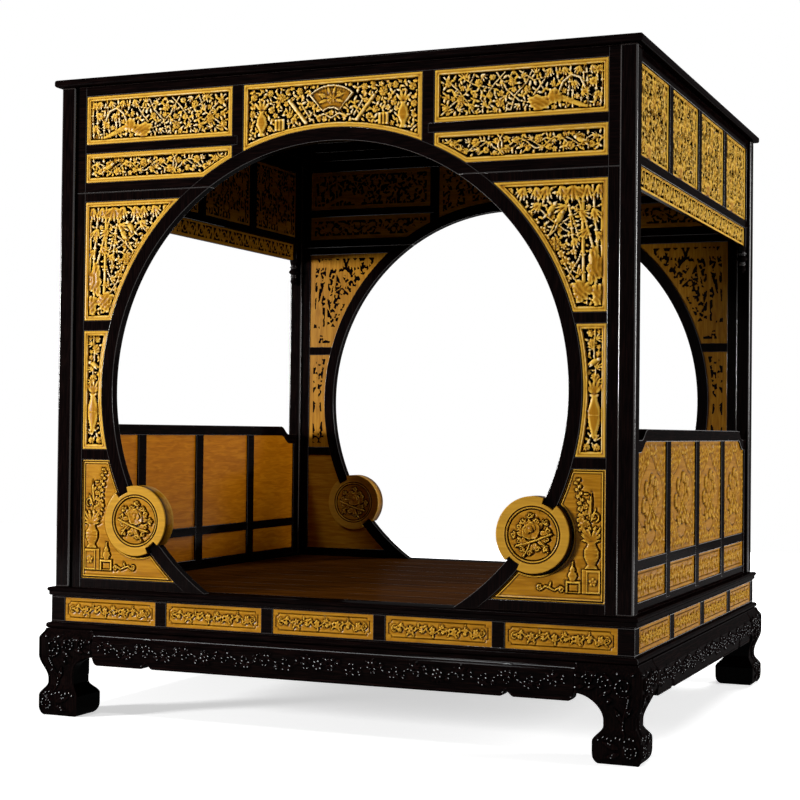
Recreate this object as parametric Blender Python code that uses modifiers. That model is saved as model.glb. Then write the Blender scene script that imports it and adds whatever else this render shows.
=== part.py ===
"""Canopy bed with a round moon gate at the front and at the back.

Dark rosewood members carry golden carved panels. Four cabriole legs with aprons and a panelled waist
carry a moulded bed frame with a deck. Four posts rise from the frame and hold the two gates, the side
railings, the side friezes and the canopy. X runs along the gates, Y from front to back and Z up. The
origin lies on the floor under the middle of the bed, and all sizes are in metres.
"""

import math

import bmesh
import bpy
from mathutils import Matrix

# Driving dimensions of the plan and the joints
POST_SPAN_X = 2.200
POST_SPAN_Y = 2.000
POST_SIDE = 0.060
POST_ARRIS = 0.009
FIT = 0.0003
TENON_SIDE = 0.024
TENON_LENGTH = 0.016
TONGUE = 0.008

# Driving dimensions of the base, stacked from the floor up
LEG_HEIGHT = 0.320
LEDGE_HEIGHT = 0.022
WAIST_HEIGHT = 0.100
RAIL_EDGE = 0.030

# Leg: spreads go out from the post's outer face, reaches go in from it
SHOULDER_SPREAD = 0.024
KNEE_SPREAD = 0.0415
ANKLE_SPREAD = 0.016
FOOT_SPREAD = 0.038
TOE_SPREAD = 0.026
KNEE_DROP = 0.040
KNEE_LENGTH = 0.042
ANKLE_HEIGHT = 0.136
FOOT_CROWN = 0.072
FOOT_LOW = 0.036
LEG_CORE = 0.094
FOOT_REACH = 0.127
TOE_REACH = 0.097
WING_REACH = 0.205
WING_BACK = 0.010
ARCH_WIDTH = 0.071
ARCH_RISE = 0.028
ARCH_LIP = 0.018

# Apron
APRON_HEIGHT = 0.125
APRON_LOW_SPREAD = 0.0365
APRON_TENON_HEIGHT = 0.060
APRON_TENON_THICKNESS = 0.016
APRON_TENON_DROP = 0.020
CUSP_REACH = 0.416
CUSP_WIDTH = 0.040
CUSP_RISE = 0.020

# Waist and its ledge
WAIST_SPREAD = 0.008
WAIST_BACK = 0.012
LEDGE_SPREAD = 0.023
LEDGE_ROUND = 0.006
WAIST_MARGIN = 0.050
WAIST_POST_LONG = 0.045
WAIST_POST_SHORT = 0.060
WAIST_PANEL_HEIGHT = 0.086
WAIST_PANELS_LONG = 5
WAIST_PANELS_SHORT = 4
CHANNEL_WIDTH = 0.007
CHANNEL_DEPTH = 0.005

# Bed rail, deck and bearers
RAIL_SPREAD = 0.0204
RAIL_STEP_SPREAD = 0.0149
RAIL_BULLNOSE = 0.016
RAIL_DEPTH = 0.058
RAIL_REACH = 0.100
DECK_LEDGE = 0.014
DECK_THICKNESS = 0.018
BEARER_WIDTH = 0.060
BEARER_HEIGHT = 0.036
BEARER_TENON_HEIGHT = 0.018
BEARERS_ACROSS = 3

# Gate: heights stacked from the bed rail up
GATE_THICKNESS = 0.034
STILE = 0.040
BOTTOM_RAIL = 0.035
CORNER_HEIGHT = 0.438
LOW_RAIL = 0.039
NARROW_HEIGHT = 0.438
HIGH_RAIL = 0.038
SIDE_TOP_RAIL = 0.034
HEAD_RAIL = 0.038
LOWER_FRIEZE = 0.108
FRIEZE_RAIL = 0.034
UPPER_FRIEZE = 0.180
TOP_RAIL = 0.0365

# Gate: ring, muntins and roundels
NARROW_WAIST = 0.081
RING_BAND = 0.047
CROWN_RISE = 0.150
CENTRE_WIDTH = 0.688
MUNTIN = 0.044
ROUNDEL_HEIGHT = 0.254
ROUNDEL_RADIUS = 0.128
ROUNDEL_THICKNESS = 0.060
ROUNDEL_BEAD_RADIUS = 0.092
ROUNDEL_BEAD = 0.006
ROUNDEL_DISH = 0.006
RING_BITE = 0.020
GATE_TENON_HEIGHT = 0.060

# Carved panels
PANEL_CORE = 0.014
PANEL_FACE = 0.012
PANEL_BORDER = 0.020
LEAF_LENGTH = 0.095
LEAF_WIDTH = 0.022
LEAF_SLOPE = math.radians(25)
SPRAY_GAP = 0.024

# Side railing
SIDE_THICKNESS = 0.034
SIDE_CORE = 0.018
SIDE_PANELS = 4
RAILING_HEIGHT = 0.607
RAILING_STEP = 0.037
RAILING_STEP_START = 0.167
RAILING_STEP_LENGTH = 0.080
RAILING_STEP_OFFSET = 0.015
RAILING_TOP_RAIL = 0.042
RAILING_STILE = 0.035
RAILING_MUNTIN = 0.060
RAILING_BOTTOM_RAIL = 0.036
RAILING_SMALL_HEIGHT = 0.103
RAILING_MID_RAIL = 0.037
MEDALLION_WIDTH = 0.240
MEDALLION_HEIGHT = 0.300
MEDALLION_RELIEF = 0.004

# Side frieze
FRIEZE_TOP_RAIL = 0.041
FRIEZE_PANEL = 0.308
FRIEZE_LOW_RAIL = 0.034
FRIEZE_BAND = 0.070
FRIEZE_STILE = 0.028
FRIEZE_MUNTIN = 0.050
PENDANT_WIDTH = 0.050
PENDANT_DROP = 0.122
PENDANT_NECK = 0.014

# Canopy
CANOPY_HEIGHT = 0.0275
CANOPY_SPREAD = 0.020
CANOPY_REACH = 0.100
CANOPY_ROUND = 0.009
CEILING_CORE = 0.010
CEILING_BATTEN = 0.050
CEILING_BATTEN_HEIGHT = 0.016
CEILING_PANELS_LONG = 3
CEILING_PANELS_SHORT = 2

# Smoothness of round outlines
ARC_STEP = math.radians(8)
WAVE_STEPS = 4
ROUNDEL_STEPS = 24
ROUNDEL_STEP = 2 * math.pi / ROUNDEL_STEPS
EDGE_STEP = math.radians(30)

# Heights that follow from the stacks
LEDGE_LOW = LEG_HEIGHT
WAIST_LOW = LEDGE_LOW + LEDGE_HEIGHT
WAIST_TOP = WAIST_LOW + WAIST_HEIGHT
SEAT = WAIST_TOP + RAIL_EDGE
RAIL_LOW = SEAT - RAIL_DEPTH
APRON_LOW = LEG_HEIGHT - APRON_HEIGHT

# Plan sizes that follow
HALF_X = POST_SPAN_X / 2
HALF_Y = POST_SPAN_Y / 2
CLEAR_X = HALF_X - POST_SIDE
CLEAR_Y = HALF_Y - POST_SIDE
STILE_EDGE = CLEAR_X - STILE
CENTRE_HALF = CENTRE_WIDTH / 2
FRIEZE_INNER = CENTRE_HALF + MUNTIN

# Gate heights are measured from the bed rail's top. The ring is widest at mid-height of the narrow panels
CORNER_LOW = BOTTOM_RAIL
CORNER_TOP = CORNER_LOW + CORNER_HEIGHT
NARROW_LOW = CORNER_TOP + LOW_RAIL
NARROW_TOP = NARROW_LOW + NARROW_HEIGHT
RING_OUTER = STILE_EDGE - NARROW_WAIST
RING_INNER = RING_OUTER - RING_BAND
RING_MIDDLE = (RING_OUTER + RING_INNER) / 2
RING_CENTRE = (0.0, (NARROW_LOW + NARROW_TOP) / 2)

# The ring is round, so the gate's head stands on its crown and the spandrels fill the height between
SPANDREL_LOW = NARROW_TOP + HIGH_RAIL
LOWER_FRIEZE_LOW = RING_CENTRE[1] + RING_OUTER - CROWN_RISE
HEAD_LOW = LOWER_FRIEZE_LOW - HEAD_RAIL
SPANDREL_TOP = HEAD_LOW - SIDE_TOP_RAIL
LOWER_FRIEZE_TOP = LOWER_FRIEZE_LOW + LOWER_FRIEZE
UPPER_FRIEZE_LOW = LOWER_FRIEZE_TOP + FRIEZE_RAIL
UPPER_FRIEZE_TOP = UPPER_FRIEZE_LOW + UPPER_FRIEZE
POST_HEIGHT = UPPER_FRIEZE_TOP + TOP_RAIL

# The roundels sit astride the ring
ROUNDEL_ANGLE = math.asin((ROUNDEL_HEIGHT - RING_CENTRE[1]) / RING_MIDDLE)
ROUNDEL_CENTRE = (RING_MIDDLE * math.cos(ROUNDEL_ANGLE), ROUNDEL_HEIGHT)
RING_END = 2 * math.asin((ROUNDEL_RADIUS - RING_BITE) / (2 * RING_MIDDLE))

# Tenon heights on the gates, railings and side friezes, from the bed rail's top
SIDE_TENONS = (CORNER_LOW + CORNER_HEIGHT / 2, (SPANDREL_LOW + SPANDREL_TOP) / 2)
HEAD_TENONS = (UPPER_FRIEZE_LOW + UPPER_FRIEZE / 2,)
RAILING_TENONS = (RAILING_BOTTOM_RAIL + RAILING_SMALL_HEIGHT / 2,)
SIDE_FRIEZE_TENONS = (POST_HEIGHT - FRIEZE_TOP_RAIL - FRIEZE_PANEL / 2,)

# The turn that lays a flat plate on the face of a run made with X pointing out
ON_RAIL_FACE = (0.0, -math.pi / 2, 0.0)

# The four corners, counter-clockwise from the front left, with their signs along X and Y
CORNERS = (("front_left", -1, -1), ("front_right", 1, -1), ("back_right", 1, 1), ("back_left", -1, 1))

# How far cutters run past the faces they cut, and the angle under which two faces count as one
PAST = 0.020
FLAT = math.radians(0.1)


def arc(centre, radius, start, end, step=None):
    """Points on a circle from one angle to another: both ends, and each whole step between them."""
    step = step or ARC_STEP
    sign = 1 if end > start else -1
    nearest = step / 20
    first = math.floor(min(start, end) / step)
    last = math.ceil(max(start, end) / step)
    between = [i * step for i in range(first, last + 1)]
    kept = [a for a in between if min(start, end) + nearest < a < max(start, end) - nearest]
    angles = [start, *kept[::sign], end]
    return [(centre[0] + radius * math.cos(a), centre[1] + radius * math.sin(a)) for a in angles]


def eased(points):
    """A waving line through turning points, running straight up or down at each of them."""
    line = [points[0]]
    for (u0, h0), (u1, h1) in zip(points, points[1:]):
        steps = WAVE_STEPS if u0 != u1 else 1
        for i in range(1, steps + 1):
            share = i / steps
            line.append((u0 + (u1 - u0) * (1 - math.cos(math.pi * share)) / 2, h0 + (h1 - h0) * share))
    return line


def rectangle(x0, x1, z0, z1):
    return [(x0, z0), (x1, z0), (x1, z1), (x0, z1)]


def mirrored(outline):
    return [(-x, z) for x, z in outline]


def shifted(outline, along):
    return [(x + along, z) for x, z in outline]


def on_ring(radius, z):
    """How far a ring's edge lies from the gate's middle at a height, or zero above and below the ring."""
    return math.sqrt(max(radius**2 - (z - RING_CENTRE[1]) ** 2, 0.0))


def ring_angle(radius, z):
    """The angle on the right half of a ring at a height."""
    return math.atan2(z - RING_CENTRE[1], on_ring(radius, z))


def workpiece(mesh):
    piece = bpy.data.objects.new("workpiece", mesh)
    bpy.context.scene.collection.objects.link(piece)
    return piece


def standing(piece, turn, location=(0.0, 0.0, 0.0)):
    piece.rotation_euler = turn
    piece.location = location
    return piece


def facing(angle):
    """The turn that stands a flat plate up, facing the front, then turned about Z."""
    return (math.pi / 2, 0.0, angle)


def plate(outlines, thickness):
    """A flat plate centred on its plane: the first outline, less the outlines inside it."""
    curve = bpy.data.curves.new("plate", "CURVE")
    curve.dimensions = "2D"
    curve.fill_mode = "BOTH"
    curve.extrude = thickness / 2
    for outline in outlines:
        spline = curve.splines.new("POLY")
        spline.points.add(len(outline) - 1)
        spline.points.foreach_set("co", [value for x, z in outline for value in (x, z, 0.0, 1.0)])
        spline.use_cyclic_u = True
    flat = bpy.data.objects.new("plate", curve)
    bpy.context.scene.collection.objects.link(flat)
    graph = bpy.context.evaluated_depsgraph_get()
    mesh = bpy.data.meshes.new_from_object(flat.evaluated_get(graph))
    bpy.data.objects.remove(flat)
    bpy.data.curves.remove(curve)
    welder = bmesh.new()
    welder.from_mesh(mesh)
    bmesh.ops.remove_doubles(welder, verts=welder.verts, dist=1e-6)
    caps = [face for face in welder.faces if len(face.verts) == 3]
    bmesh.ops.beautify_fill(welder, faces=caps, edges=welder.edges, method="ANGLE")
    bmesh.ops.recalc_face_normals(welder, faces=welder.faces)
    welder.to_mesh(mesh)
    welder.free()
    return workpiece(mesh)


def box(low, high):
    """A box between two opposite corners."""
    middle = [(a + b) / 2 for a, b in zip(low, high)]
    size = [b - a for a, b in zip(low, high)]
    mesh = bpy.data.meshes.new("box")
    builder = bmesh.new()
    bmesh.ops.create_cube(builder, size=1.0, matrix=Matrix.LocRotScale(middle, None, size))
    builder.to_mesh(mesh)
    builder.free()
    return workpiece(mesh)


def shaped(piece):
    """Makes what a piece's modifiers give its own mesh, and merges the faces that lie in one plane."""
    graph = bpy.context.evaluated_depsgraph_get()
    mesh = bpy.data.meshes.new_from_object(piece.evaluated_get(graph))
    piece.modifiers.clear()
    piece.data = mesh
    merger = bmesh.new()
    merger.from_mesh(mesh)
    bmesh.ops.dissolve_limit(merger, angle_limit=FLAT, verts=merger.verts, edges=merger.edges)
    merger.to_mesh(mesh)
    merger.free()
    return piece


def combine(base, operation, tools):
    """Joins the tools to the base, cuts them from it, or keeps what they share. The tools are used up."""
    for tool in tools:
        modifier = base.modifiers.new(operation, "BOOLEAN")
        modifier.operation = operation
        modifier.object = tool
    shaped(base)
    for tool in tools:
        bpy.data.objects.remove(tool)
    return base


def finished(piece):
    """The mesh of a finished workpiece, which leaves the workshop, with the place where it was worked."""
    mesh = piece.data
    mesh.transform(piece.matrix_basis)
    bpy.data.objects.remove(piece)
    return mesh


def wood(name, colour, roughness):
    material = bpy.data.materials.new(name)
    material.use_nodes = True
    shader = material.node_tree.nodes["Principled BSDF"]
    shader.inputs["Base Color"].default_value = (*colour, 1.0)
    shader.inputs["Roughness"].default_value = roughness
    shader.inputs["Metallic"].default_value = 0.0
    material.diffuse_color = (*colour, 1.0)
    return material


def place(name, mesh, material, turn=(0.0, 0.0, 0.0), location=(0.0, 0.0, 0.0)):
    """Sets a finished mesh in the bed as one named piece."""
    piece = bpy.data.objects.new(name, mesh)
    if not mesh.materials:
        mesh.name = name
        mesh.materials.append(material)
    piece.parent = bed
    standing(piece, turn, location)
    pieces.objects.link(piece)


def mitred(profile, half_length):
    """A profile run along its length with ends cut at 45 degrees: X is outward, Y up and Z along."""
    run = plate([profile], 2 * half_length)
    for vertex in run.data.vertices:
        end = half_length + vertex.co.x - FIT / 2
        vertex.co.z = math.copysign(end, vertex.co.z)
    return run


def each_side():
    """Name, half length, turn and place of the four sides, for pieces made with X pointing out."""
    for quarter, side in enumerate(("right", "back", "left", "front")):
        half_length, out = (HALF_X, HALF_Y) if quarter % 2 else (HALF_Y, HALF_X)
        angle = quarter * math.pi / 2
        location = (out * math.cos(angle), out * math.sin(angle), 0.0)
        yield side, half_length, facing(angle), location


def leg_profile():
    """The leg seen from the front, as points (inward from the post's outer face, height)."""
    top = LEG_HEIGHT - FIT
    knee = LEG_HEIGHT - KNEE_DROP
    arch = APRON_LOW + ARCH_RISE
    stub_out = WAIST_BACK + FIT
    stub_top = RAIL_LOW - FIT
    outer = eased([
        (-SHOULDER_SPREAD, top),
        (-KNEE_SPREAD, knee),
        (-KNEE_SPREAD, knee - KNEE_LENGTH),
        (-ANKLE_SPREAD, ANKLE_HEIGHT),
        (-FOOT_SPREAD, FOOT_CROWN),
        (-FOOT_SPREAD, FOOT_LOW),
        (-TOE_SPREAD, 0.0),
    ])
    inner = eased([
        (TOE_REACH, 0.0),
        (FOOT_REACH, FOOT_LOW),
        (FOOT_REACH, FOOT_CROWN),
        (LEG_CORE, ANKLE_HEIGHT),
    ])
    quarter = [i * math.pi / 2 / WAVE_STEPS for i in range(WAVE_STEPS + 1)]
    bracket = [
        (LEG_CORE + ARCH_WIDTH * (1 - math.cos(a)), ANKLE_HEIGHT + (arch - ANKLE_HEIGHT) * math.sin(a))
        for a in quarter[1:]
    ]
    lip = [
        (WING_REACH - ARCH_LIP * (1 - math.sin(a)), arch - ARCH_LIP * (1 - math.cos(a)))
        for a in quarter
    ]
    stub = [(WING_REACH, top), (LEG_CORE, top), (LEG_CORE, stub_top), (stub_out, stub_top), (stub_out, top)]
    return outer + inner + bracket + lip + stub


def apron_tenon(grow):
    """Low and high corner of the apron's tenon: inward from the post face, outward from it, and height."""
    top = LEG_HEIGHT - APRON_TENON_DROP
    middle = (KNEE_SPREAD - WING_BACK) / 2
    half = APRON_TENON_THICKNESS / 2
    low = (WING_REACH - TENON_LENGTH - grow, middle - half - grow, top - APRON_TENON_HEIGHT - grow)
    high = (WING_REACH + PAST, middle + half + grow, top + grow)
    return low, high


def leg():
    """A leg sawn to one profile from two sides, hollowed behind its wings, with its mortises and tenon."""
    profile = leg_profile()
    depth = WING_REACH + KNEE_SPREAD + 2 * PAST
    middle = (WING_REACH - KNEE_SPREAD) / 2
    blank = standing(plate([profile], depth), facing(0.0), (0.0, middle, 0.0))
    across = standing(plate([profile], depth), facing(math.pi / 2), (middle, 0.0, 0.0))
    body = combine(blank, "INTERSECT", [across])
    far = WING_REACH + PAST
    step = [(WING_BACK, LEG_CORE), (LEG_CORE, LEG_CORE), (LEG_CORE, WING_BACK)]
    hollow_height = LEG_HEIGHT + PAST - ANKLE_HEIGHT
    hollow = plate([[(WING_BACK, far), *step, (far, WING_BACK), (far, far)]], hollow_height)
    hollow.location = (0.0, 0.0, ANKLE_HEIGHT + hollow_height / 2)
    low, high = apron_tenon(FIT)
    mortise_x = box((low[0], -high[1], low[2]), (high[0], -low[1], high[2]))
    mortise_y = box((-high[1], low[0], low[2]), (-low[1], high[0], high[2]))
    combine(body, "DIFFERENCE", [hollow, mortise_x, mortise_y])
    near = (POST_SIDE - TENON_SIDE) / 2
    far = near + TENON_SIDE
    stub_top = RAIL_LOW - FIT
    tenon = box((near, near, stub_top - PAST), (far, far, stub_top + TENON_LENGTH))
    return finished(combine(body, "UNION", [tenon]))


def build_legs():
    mesh = leg()
    for quarter, (corner, sign_x, sign_y) in enumerate(CORNERS):
        turn = (0.0, 0.0, quarter * math.pi / 2)
        place(f"leg_{corner}", mesh, rosewood, turn, (sign_x * HALF_X, sign_y * HALF_Y, 0.0))


def apron(half_length):
    """A bulging apron between two legs, cusped along its lower edge: X outward, Y up, Z along."""
    top = LEG_HEIGHT - FIT
    knee = LEG_HEIGHT - KNEE_DROP
    face = eased([(SHOULDER_SPREAD, top), (KNEE_SPREAD, knee), (KNEE_SPREAD, knee - KNEE_LENGTH)])
    profile = face + [(APRON_LOW_SPREAD, APRON_LOW), (-WING_BACK, APRON_LOW), (-WING_BACK, top)]
    end = half_length - WING_REACH - FIT
    body = plate([profile], 2 * end)
    cusp_at = half_length - CUSP_REACH
    half = CUSP_WIDTH / 2
    rise = [(half * (1 - math.cos(a)), CUSP_RISE * math.sin(a)) for a in (0.0, math.pi / 6, math.pi / 3)]
    left_arc = [(u - half, APRON_LOW + h) for u, h in rise]
    cusp = left_arc + [(0.0, APRON_LOW + CUSP_RISE)] + [(-u, h) for u, h in reversed(left_arc)]
    cusp += [(half, APRON_LOW - PAST), (-half, APRON_LOW - PAST)]
    depth = KNEE_SPREAD + WING_BACK + 2 * PAST
    cutters = [
        standing(plate([shifted(cusp, sign * cusp_at)], depth), ON_RAIL_FACE) for sign in (-1, 1)
    ]
    combine(body, "DIFFERENCE", cutters)
    low, high = apron_tenon(0.0)
    tenons = []
    for sign in (-1, 1):
        ends = sorted((sign * (end - PAST), sign * (half_length - low[0])))
        tenons.append(box((low[1], low[2], ends[0]), (high[1], high[2], ends[1])))
    return finished(combine(body, "UNION", tenons))


def waist(half_length, count, margin_post):
    """The waist with its ledge, mitred at the corners, each panel set off by a channel round it."""
    top = WAIST_TOP - FIT
    inner_round = LEDGE_SPREAD - LEDGE_ROUND
    nose_low = arc((inner_round, LEDGE_LOW + LEDGE_ROUND), LEDGE_ROUND, -math.pi / 2, 0.0, EDGE_STEP)
    nose_high = arc((inner_round, WAIST_LOW - LEDGE_ROUND), LEDGE_ROUND, 0.0, math.pi / 2, EDGE_STEP)
    profile = [(-WAIST_BACK, LEDGE_LOW), *nose_low, *nose_high]
    profile += [(WAIST_SPREAD, WAIST_LOW), (WAIST_SPREAD, top), (-WAIST_BACK, top)]
    body = mitred(profile, half_length)
    run = 2 * (half_length - WAIST_MARGIN)
    width = (run - (count - 1) * margin_post) / count
    z0 = WAIST_LOW + (WAIST_HEIGHT - WAIST_PANEL_HEIGHT) / 2
    z1 = z0 + WAIST_PANEL_HEIGHT
    cutters = []
    for i in range(count):
        x0 = -run / 2 + i * (width + margin_post)
        outside = rectangle(x0, x0 + width, z0, z1)
        inside = rectangle(
            x0 + CHANNEL_WIDTH, x0 + width - CHANNEL_WIDTH, z0 + CHANNEL_WIDTH, z1 - CHANNEL_WIDTH
        )
        channel = plate([outside, inside], 2 * CHANNEL_DEPTH)
        cutters.append(standing(channel, ON_RAIL_FACE, (WAIST_SPREAD, 0.0, 0.0)))
    return finished(combine(body, "DIFFERENCE", cutters))


def bearer_places():
    """Where the cross bearers run, along X from the middle."""
    pitch = 2 * (HALF_X - RAIL_REACH) / (BEARERS_ACROSS + 1)
    return [(i + 1) * pitch - (HALF_X - RAIL_REACH) for i in range(BEARERS_ACROSS)]


def bearer_tenon_heights():
    """Low and high side of the bearers' tenons."""
    middle = SEAT - DECK_THICKNESS - FIT - BEARER_HEIGHT / 2
    return middle - BEARER_TENON_HEIGHT / 2, middle + BEARER_TENON_HEIGHT / 2


def bed_rail(half_length, bearers):
    """A moulded bed rail with its rebate for the deck and its mortises: X outward, Y up, Z along."""
    nose = RAIL_BULLNOSE / 2
    bullnose = arc((RAIL_SPREAD - nose, SEAT - nose), nose, math.pi / 2, -math.pi / 2, EDGE_STEP)
    profile = [
        *bullnose,
        (RAIL_STEP_SPREAD, SEAT - RAIL_BULLNOSE),
        (RAIL_STEP_SPREAD, WAIST_TOP),
        (-WAIST_BACK - FIT, WAIST_TOP),
        (-WAIST_BACK - FIT, RAIL_LOW),
        (-RAIL_REACH, RAIL_LOW),
        (-RAIL_REACH, SEAT - DECK_THICKNESS),
        (-RAIL_REACH + DECK_LEDGE, SEAT - DECK_THICKNESS),
        (-RAIL_REACH + DECK_LEDGE, SEAT),
    ]
    body = mitred(profile, half_length)
    middle = POST_SIDE / 2
    half = TENON_SIDE / 2 + FIT
    depth = TENON_LENGTH + 2 * FIT
    cutters = []
    for sign in (-1, 1):
        along = sign * (half_length - middle)
        for low, high in ((SEAT - depth, SEAT + PAST), (RAIL_LOW - PAST, RAIL_LOW + depth)):
            cutters.append(box((-middle - half, low, along - half), (-middle + half, high, along + half)))
    low, high = bearer_tenon_heights()
    half = BEARER_WIDTH / 2 + FIT
    for along in bearers:
        cutters.append(
            box(
                (-RAIL_REACH - PAST, low - FIT, along - half),
                (-RAIL_REACH + TENON_LENGTH + 2 * FIT, high + FIT, along + half),
            )
        )
    return finished(combine(body, "DIFFERENCE", cutters))


def build_base():
    long_places = bearer_places()
    counts = {True: (WAIST_PANELS_LONG, WAIST_POST_LONG), False: (WAIST_PANELS_SHORT, WAIST_POST_SHORT)}
    meshes = {}
    for side, half_length, turn, location in each_side():
        is_long = side in ("front", "back")
        if is_long not in meshes:
            bearers = long_places if is_long else [0.0]
            meshes[is_long] = {
                "apron": apron(half_length),
                "waist": waist(half_length, *counts[is_long]),
                "bed_rail": bed_rail(half_length, bearers),
            }
        for kind, mesh in meshes[is_long].items():
            place(f"{kind}_{side}", mesh, rosewood, turn, location)


def build_deck():
    """Deck boards in the rails' rebate, on a half-lapped grid of bearers tenoned into the rails."""
    inset = RAIL_REACH - DECK_LEDGE + FIT
    corner = (HALF_X - inset, HALF_Y - inset)
    boards = box((-corner[0], -corner[1], SEAT - DECK_THICKNESS + FIT), (corner[0], corner[1], SEAT))
    place("deck", finished(boards), nanmu)
    top = SEAT - DECK_THICKNESS - FIT
    reach_x = HALF_X - RAIL_REACH - FIT
    reach_y = HALF_Y - RAIL_REACH - FIT
    half = BEARER_WIDTH / 2
    low, high = bearer_tenon_heights()
    grid = box((-reach_x, -half, top - BEARER_HEIGHT), (reach_x, half, top))
    rest = [box((-reach_x - TENON_LENGTH, -half, low), (reach_x + TENON_LENGTH, half, high))]
    for x in bearer_places():
        rest.append(box((x - half, -reach_y, top - BEARER_HEIGHT), (x + half, reach_y, top)))
        rest.append(box((x - half, -reach_y - TENON_LENGTH, low), (x + half, reach_y + TENON_LENGTH, high)))
    place("deck_bearers", finished(combine(grid, "UNION", rest)), rosewood)


def post(sign_x, sign_y):
    """A corner post with rounded arrises, tenons at both ends and mortises for the gate and the sides."""
    centre = (sign_x * (HALF_X - POST_SIDE / 2), sign_y * (HALF_Y - POST_SIDE / 2))
    flat = POST_SIDE / 2 - POST_ARRIS
    outline = []
    for quarter in range(4):
        start = quarter * math.pi / 2
        middle = start + math.pi / 4
        corner = (math.sqrt(2) * flat * math.cos(middle), math.sqrt(2) * flat * math.sin(middle))
        outline += arc(corner, POST_ARRIS, start, start + math.pi / 2, EDGE_STEP)
    low = SEAT + FIT
    high = SEAT + POST_HEIGHT - FIT
    body = plate([outline], high - low)
    body.location = (*centre, (low + high) / 2)
    half = TENON_SIDE / 2
    tenon = box(
        (centre[0] - half, centre[1] - half, low - TENON_LENGTH),
        (centre[0] + half, centre[1] + half, high + TENON_LENGTH),
    )
    combine(body, "UNION", [tenon])
    cutters = []
    reach = TENON_LENGTH + 2 * FIT
    tall = GATE_TENON_HEIGHT / 2 + FIT
    face_x = sign_x * CLEAR_X
    face_y = sign_y * CLEAR_Y
    ends_x = sorted((face_x - sign_x * PAST, face_x + sign_x * reach))
    ends_y = sorted((face_y - sign_y * PAST, face_y + sign_y * reach))
    wide = GATE_THICKNESS / 2 + FIT
    low_y, high_y = centre[1] - wide, centre[1] + wide
    for height in SIDE_TENONS + HEAD_TENONS:
        z = SEAT + height
        cutters.append(box((ends_x[0], low_y, z - tall), (ends_x[1], high_y, z + tall)))
    wide = SIDE_THICKNESS / 2 + FIT
    low_x, high_x = centre[0] - wide, centre[0] + wide
    for height in RAILING_TENONS + SIDE_FRIEZE_TENONS:
        z = SEAT + height
        cutters.append(box((low_x, ends_y[0], z - tall), (high_x, ends_y[1], z + tall)))
    return finished(combine(body, "DIFFERENCE", cutters))


def build_posts():
    for corner, sign_x, sign_y in CORNERS:
        place(f"post_{corner}", post(sign_x, sign_y), rosewood)


def tenoned(edge, heights):
    """An upright edge, from its foot up, with a square tenon standing out at each height."""
    line = []
    for height in heights:
        low = height - GATE_TENON_HEIGHT / 2
        high = height + GATE_TENON_HEIGHT / 2
        line += [(edge, low), (edge + TENON_LENGTH, low), (edge + TENON_LENGTH, high), (edge, high)]
    return line


def beside_ring(inner, z0, z1, grow):
    """A window between the ring and the stile that starts at its inner edge, and grows outwards."""
    radius = RING_OUTER - grow
    low, high, left, right = z0 - grow, z1 + grow, inner - grow, STILE_EDGE + grow
    meets = RING_CENTRE[1] + math.sqrt(max(radius**2 - left**2, 0.0)) if left > 0 else high
    outline = [(right, low), (right, high)]
    if meets < high:
        outline.append((left, high))
    if meets > low:
        start = ring_angle(radius, min(meets, high))
        outline += arc(RING_CENTRE, radius, start, ring_angle(radius, low))
    else:
        outline.append((left, low))
    return outline


def centre_window(grow):
    """The window over the crown of the ring."""
    radius = RING_OUTER - grow
    half = CENTRE_HALF + grow
    top = UPPER_FRIEZE_TOP + grow
    foot = max(RING_CENTRE[1] + math.sqrt(max(radius**2 - half**2, 0.0)), LOWER_FRIEZE_LOW - grow)
    reach = on_ring(radius, foot)
    start = math.atan2(foot - RING_CENTRE[1], -reach)
    end = math.atan2(foot - RING_CENTRE[1], reach)
    crown = arc(RING_CENTRE, radius, start, end)
    ends = [] if reach > half - FIT else [(-half, foot)]
    return [(half, top), (-half, top), *ends, *crown, *mirrored(ends)]


def circle_meeting(radius, roundel_radius, side):
    """The angles on the ring and on the roundel where the two circles cross, above (1) or below (-1)."""
    turn = math.acos((radius**2 + RING_MIDDLE**2 - roundel_radius**2) / (2 * radius * RING_MIDDLE))
    on_ring_angle = ROUNDEL_ANGLE + side * turn
    x = RING_CENTRE[0] + radius * math.cos(on_ring_angle) - ROUNDEL_CENTRE[0]
    z = RING_CENTRE[1] + radius * math.sin(on_ring_angle) - ROUNDEL_CENTRE[1]
    return on_ring_angle, math.atan2(z, x)


def corner_window(grow):
    """The window in the lower corner, bounded by the stile, the ring and the roundel."""
    radius = RING_OUTER - grow
    low = CORNER_LOW - grow
    high = CORNER_TOP + grow
    right = STILE_EDGE + grow
    roundel = ROUNDEL_RADIUS - grow
    upper, roundel_start = circle_meeting(radius, roundel, 1)
    lower, roundel_end = circle_meeting(radius, roundel, -1)
    if roundel_end > roundel_start:
        roundel_end -= 2 * math.pi
    return [
        (right, low),
        (right, high),
        *arc(RING_CENTRE, radius, ring_angle(radius, high), upper),
        *arc(ROUNDEL_CENTRE, roundel, roundel_start, roundel_end, ROUNDEL_STEP)[1:-1],
        *arc(RING_CENTRE, radius, lower, ring_angle(radius, low)),
    ]


def spandrel_window(grow):
    return beside_ring(0.0, SPANDREL_LOW, SPANDREL_TOP, grow)


def narrow_window(grow):
    return beside_ring(0.0, NARROW_LOW, NARROW_TOP, grow)


def upper_frieze_window(grow):
    return beside_ring(FRIEZE_INNER, UPPER_FRIEZE_LOW, UPPER_FRIEZE_TOP, grow)


def lower_frieze_window(grow):
    return beside_ring(FRIEZE_INNER, LOWER_FRIEZE_LOW, LOWER_FRIEZE_TOP, grow)


def grooved(frame, windows):
    """A frame with a groove round each window for the panel's tongue."""
    cutters = [plate([outline(TONGUE + FIT)], PANEL_CORE + 2 * FIT) for outline in windows]
    return finished(combine(frame, "DIFFERENCE", cutters))


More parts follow.
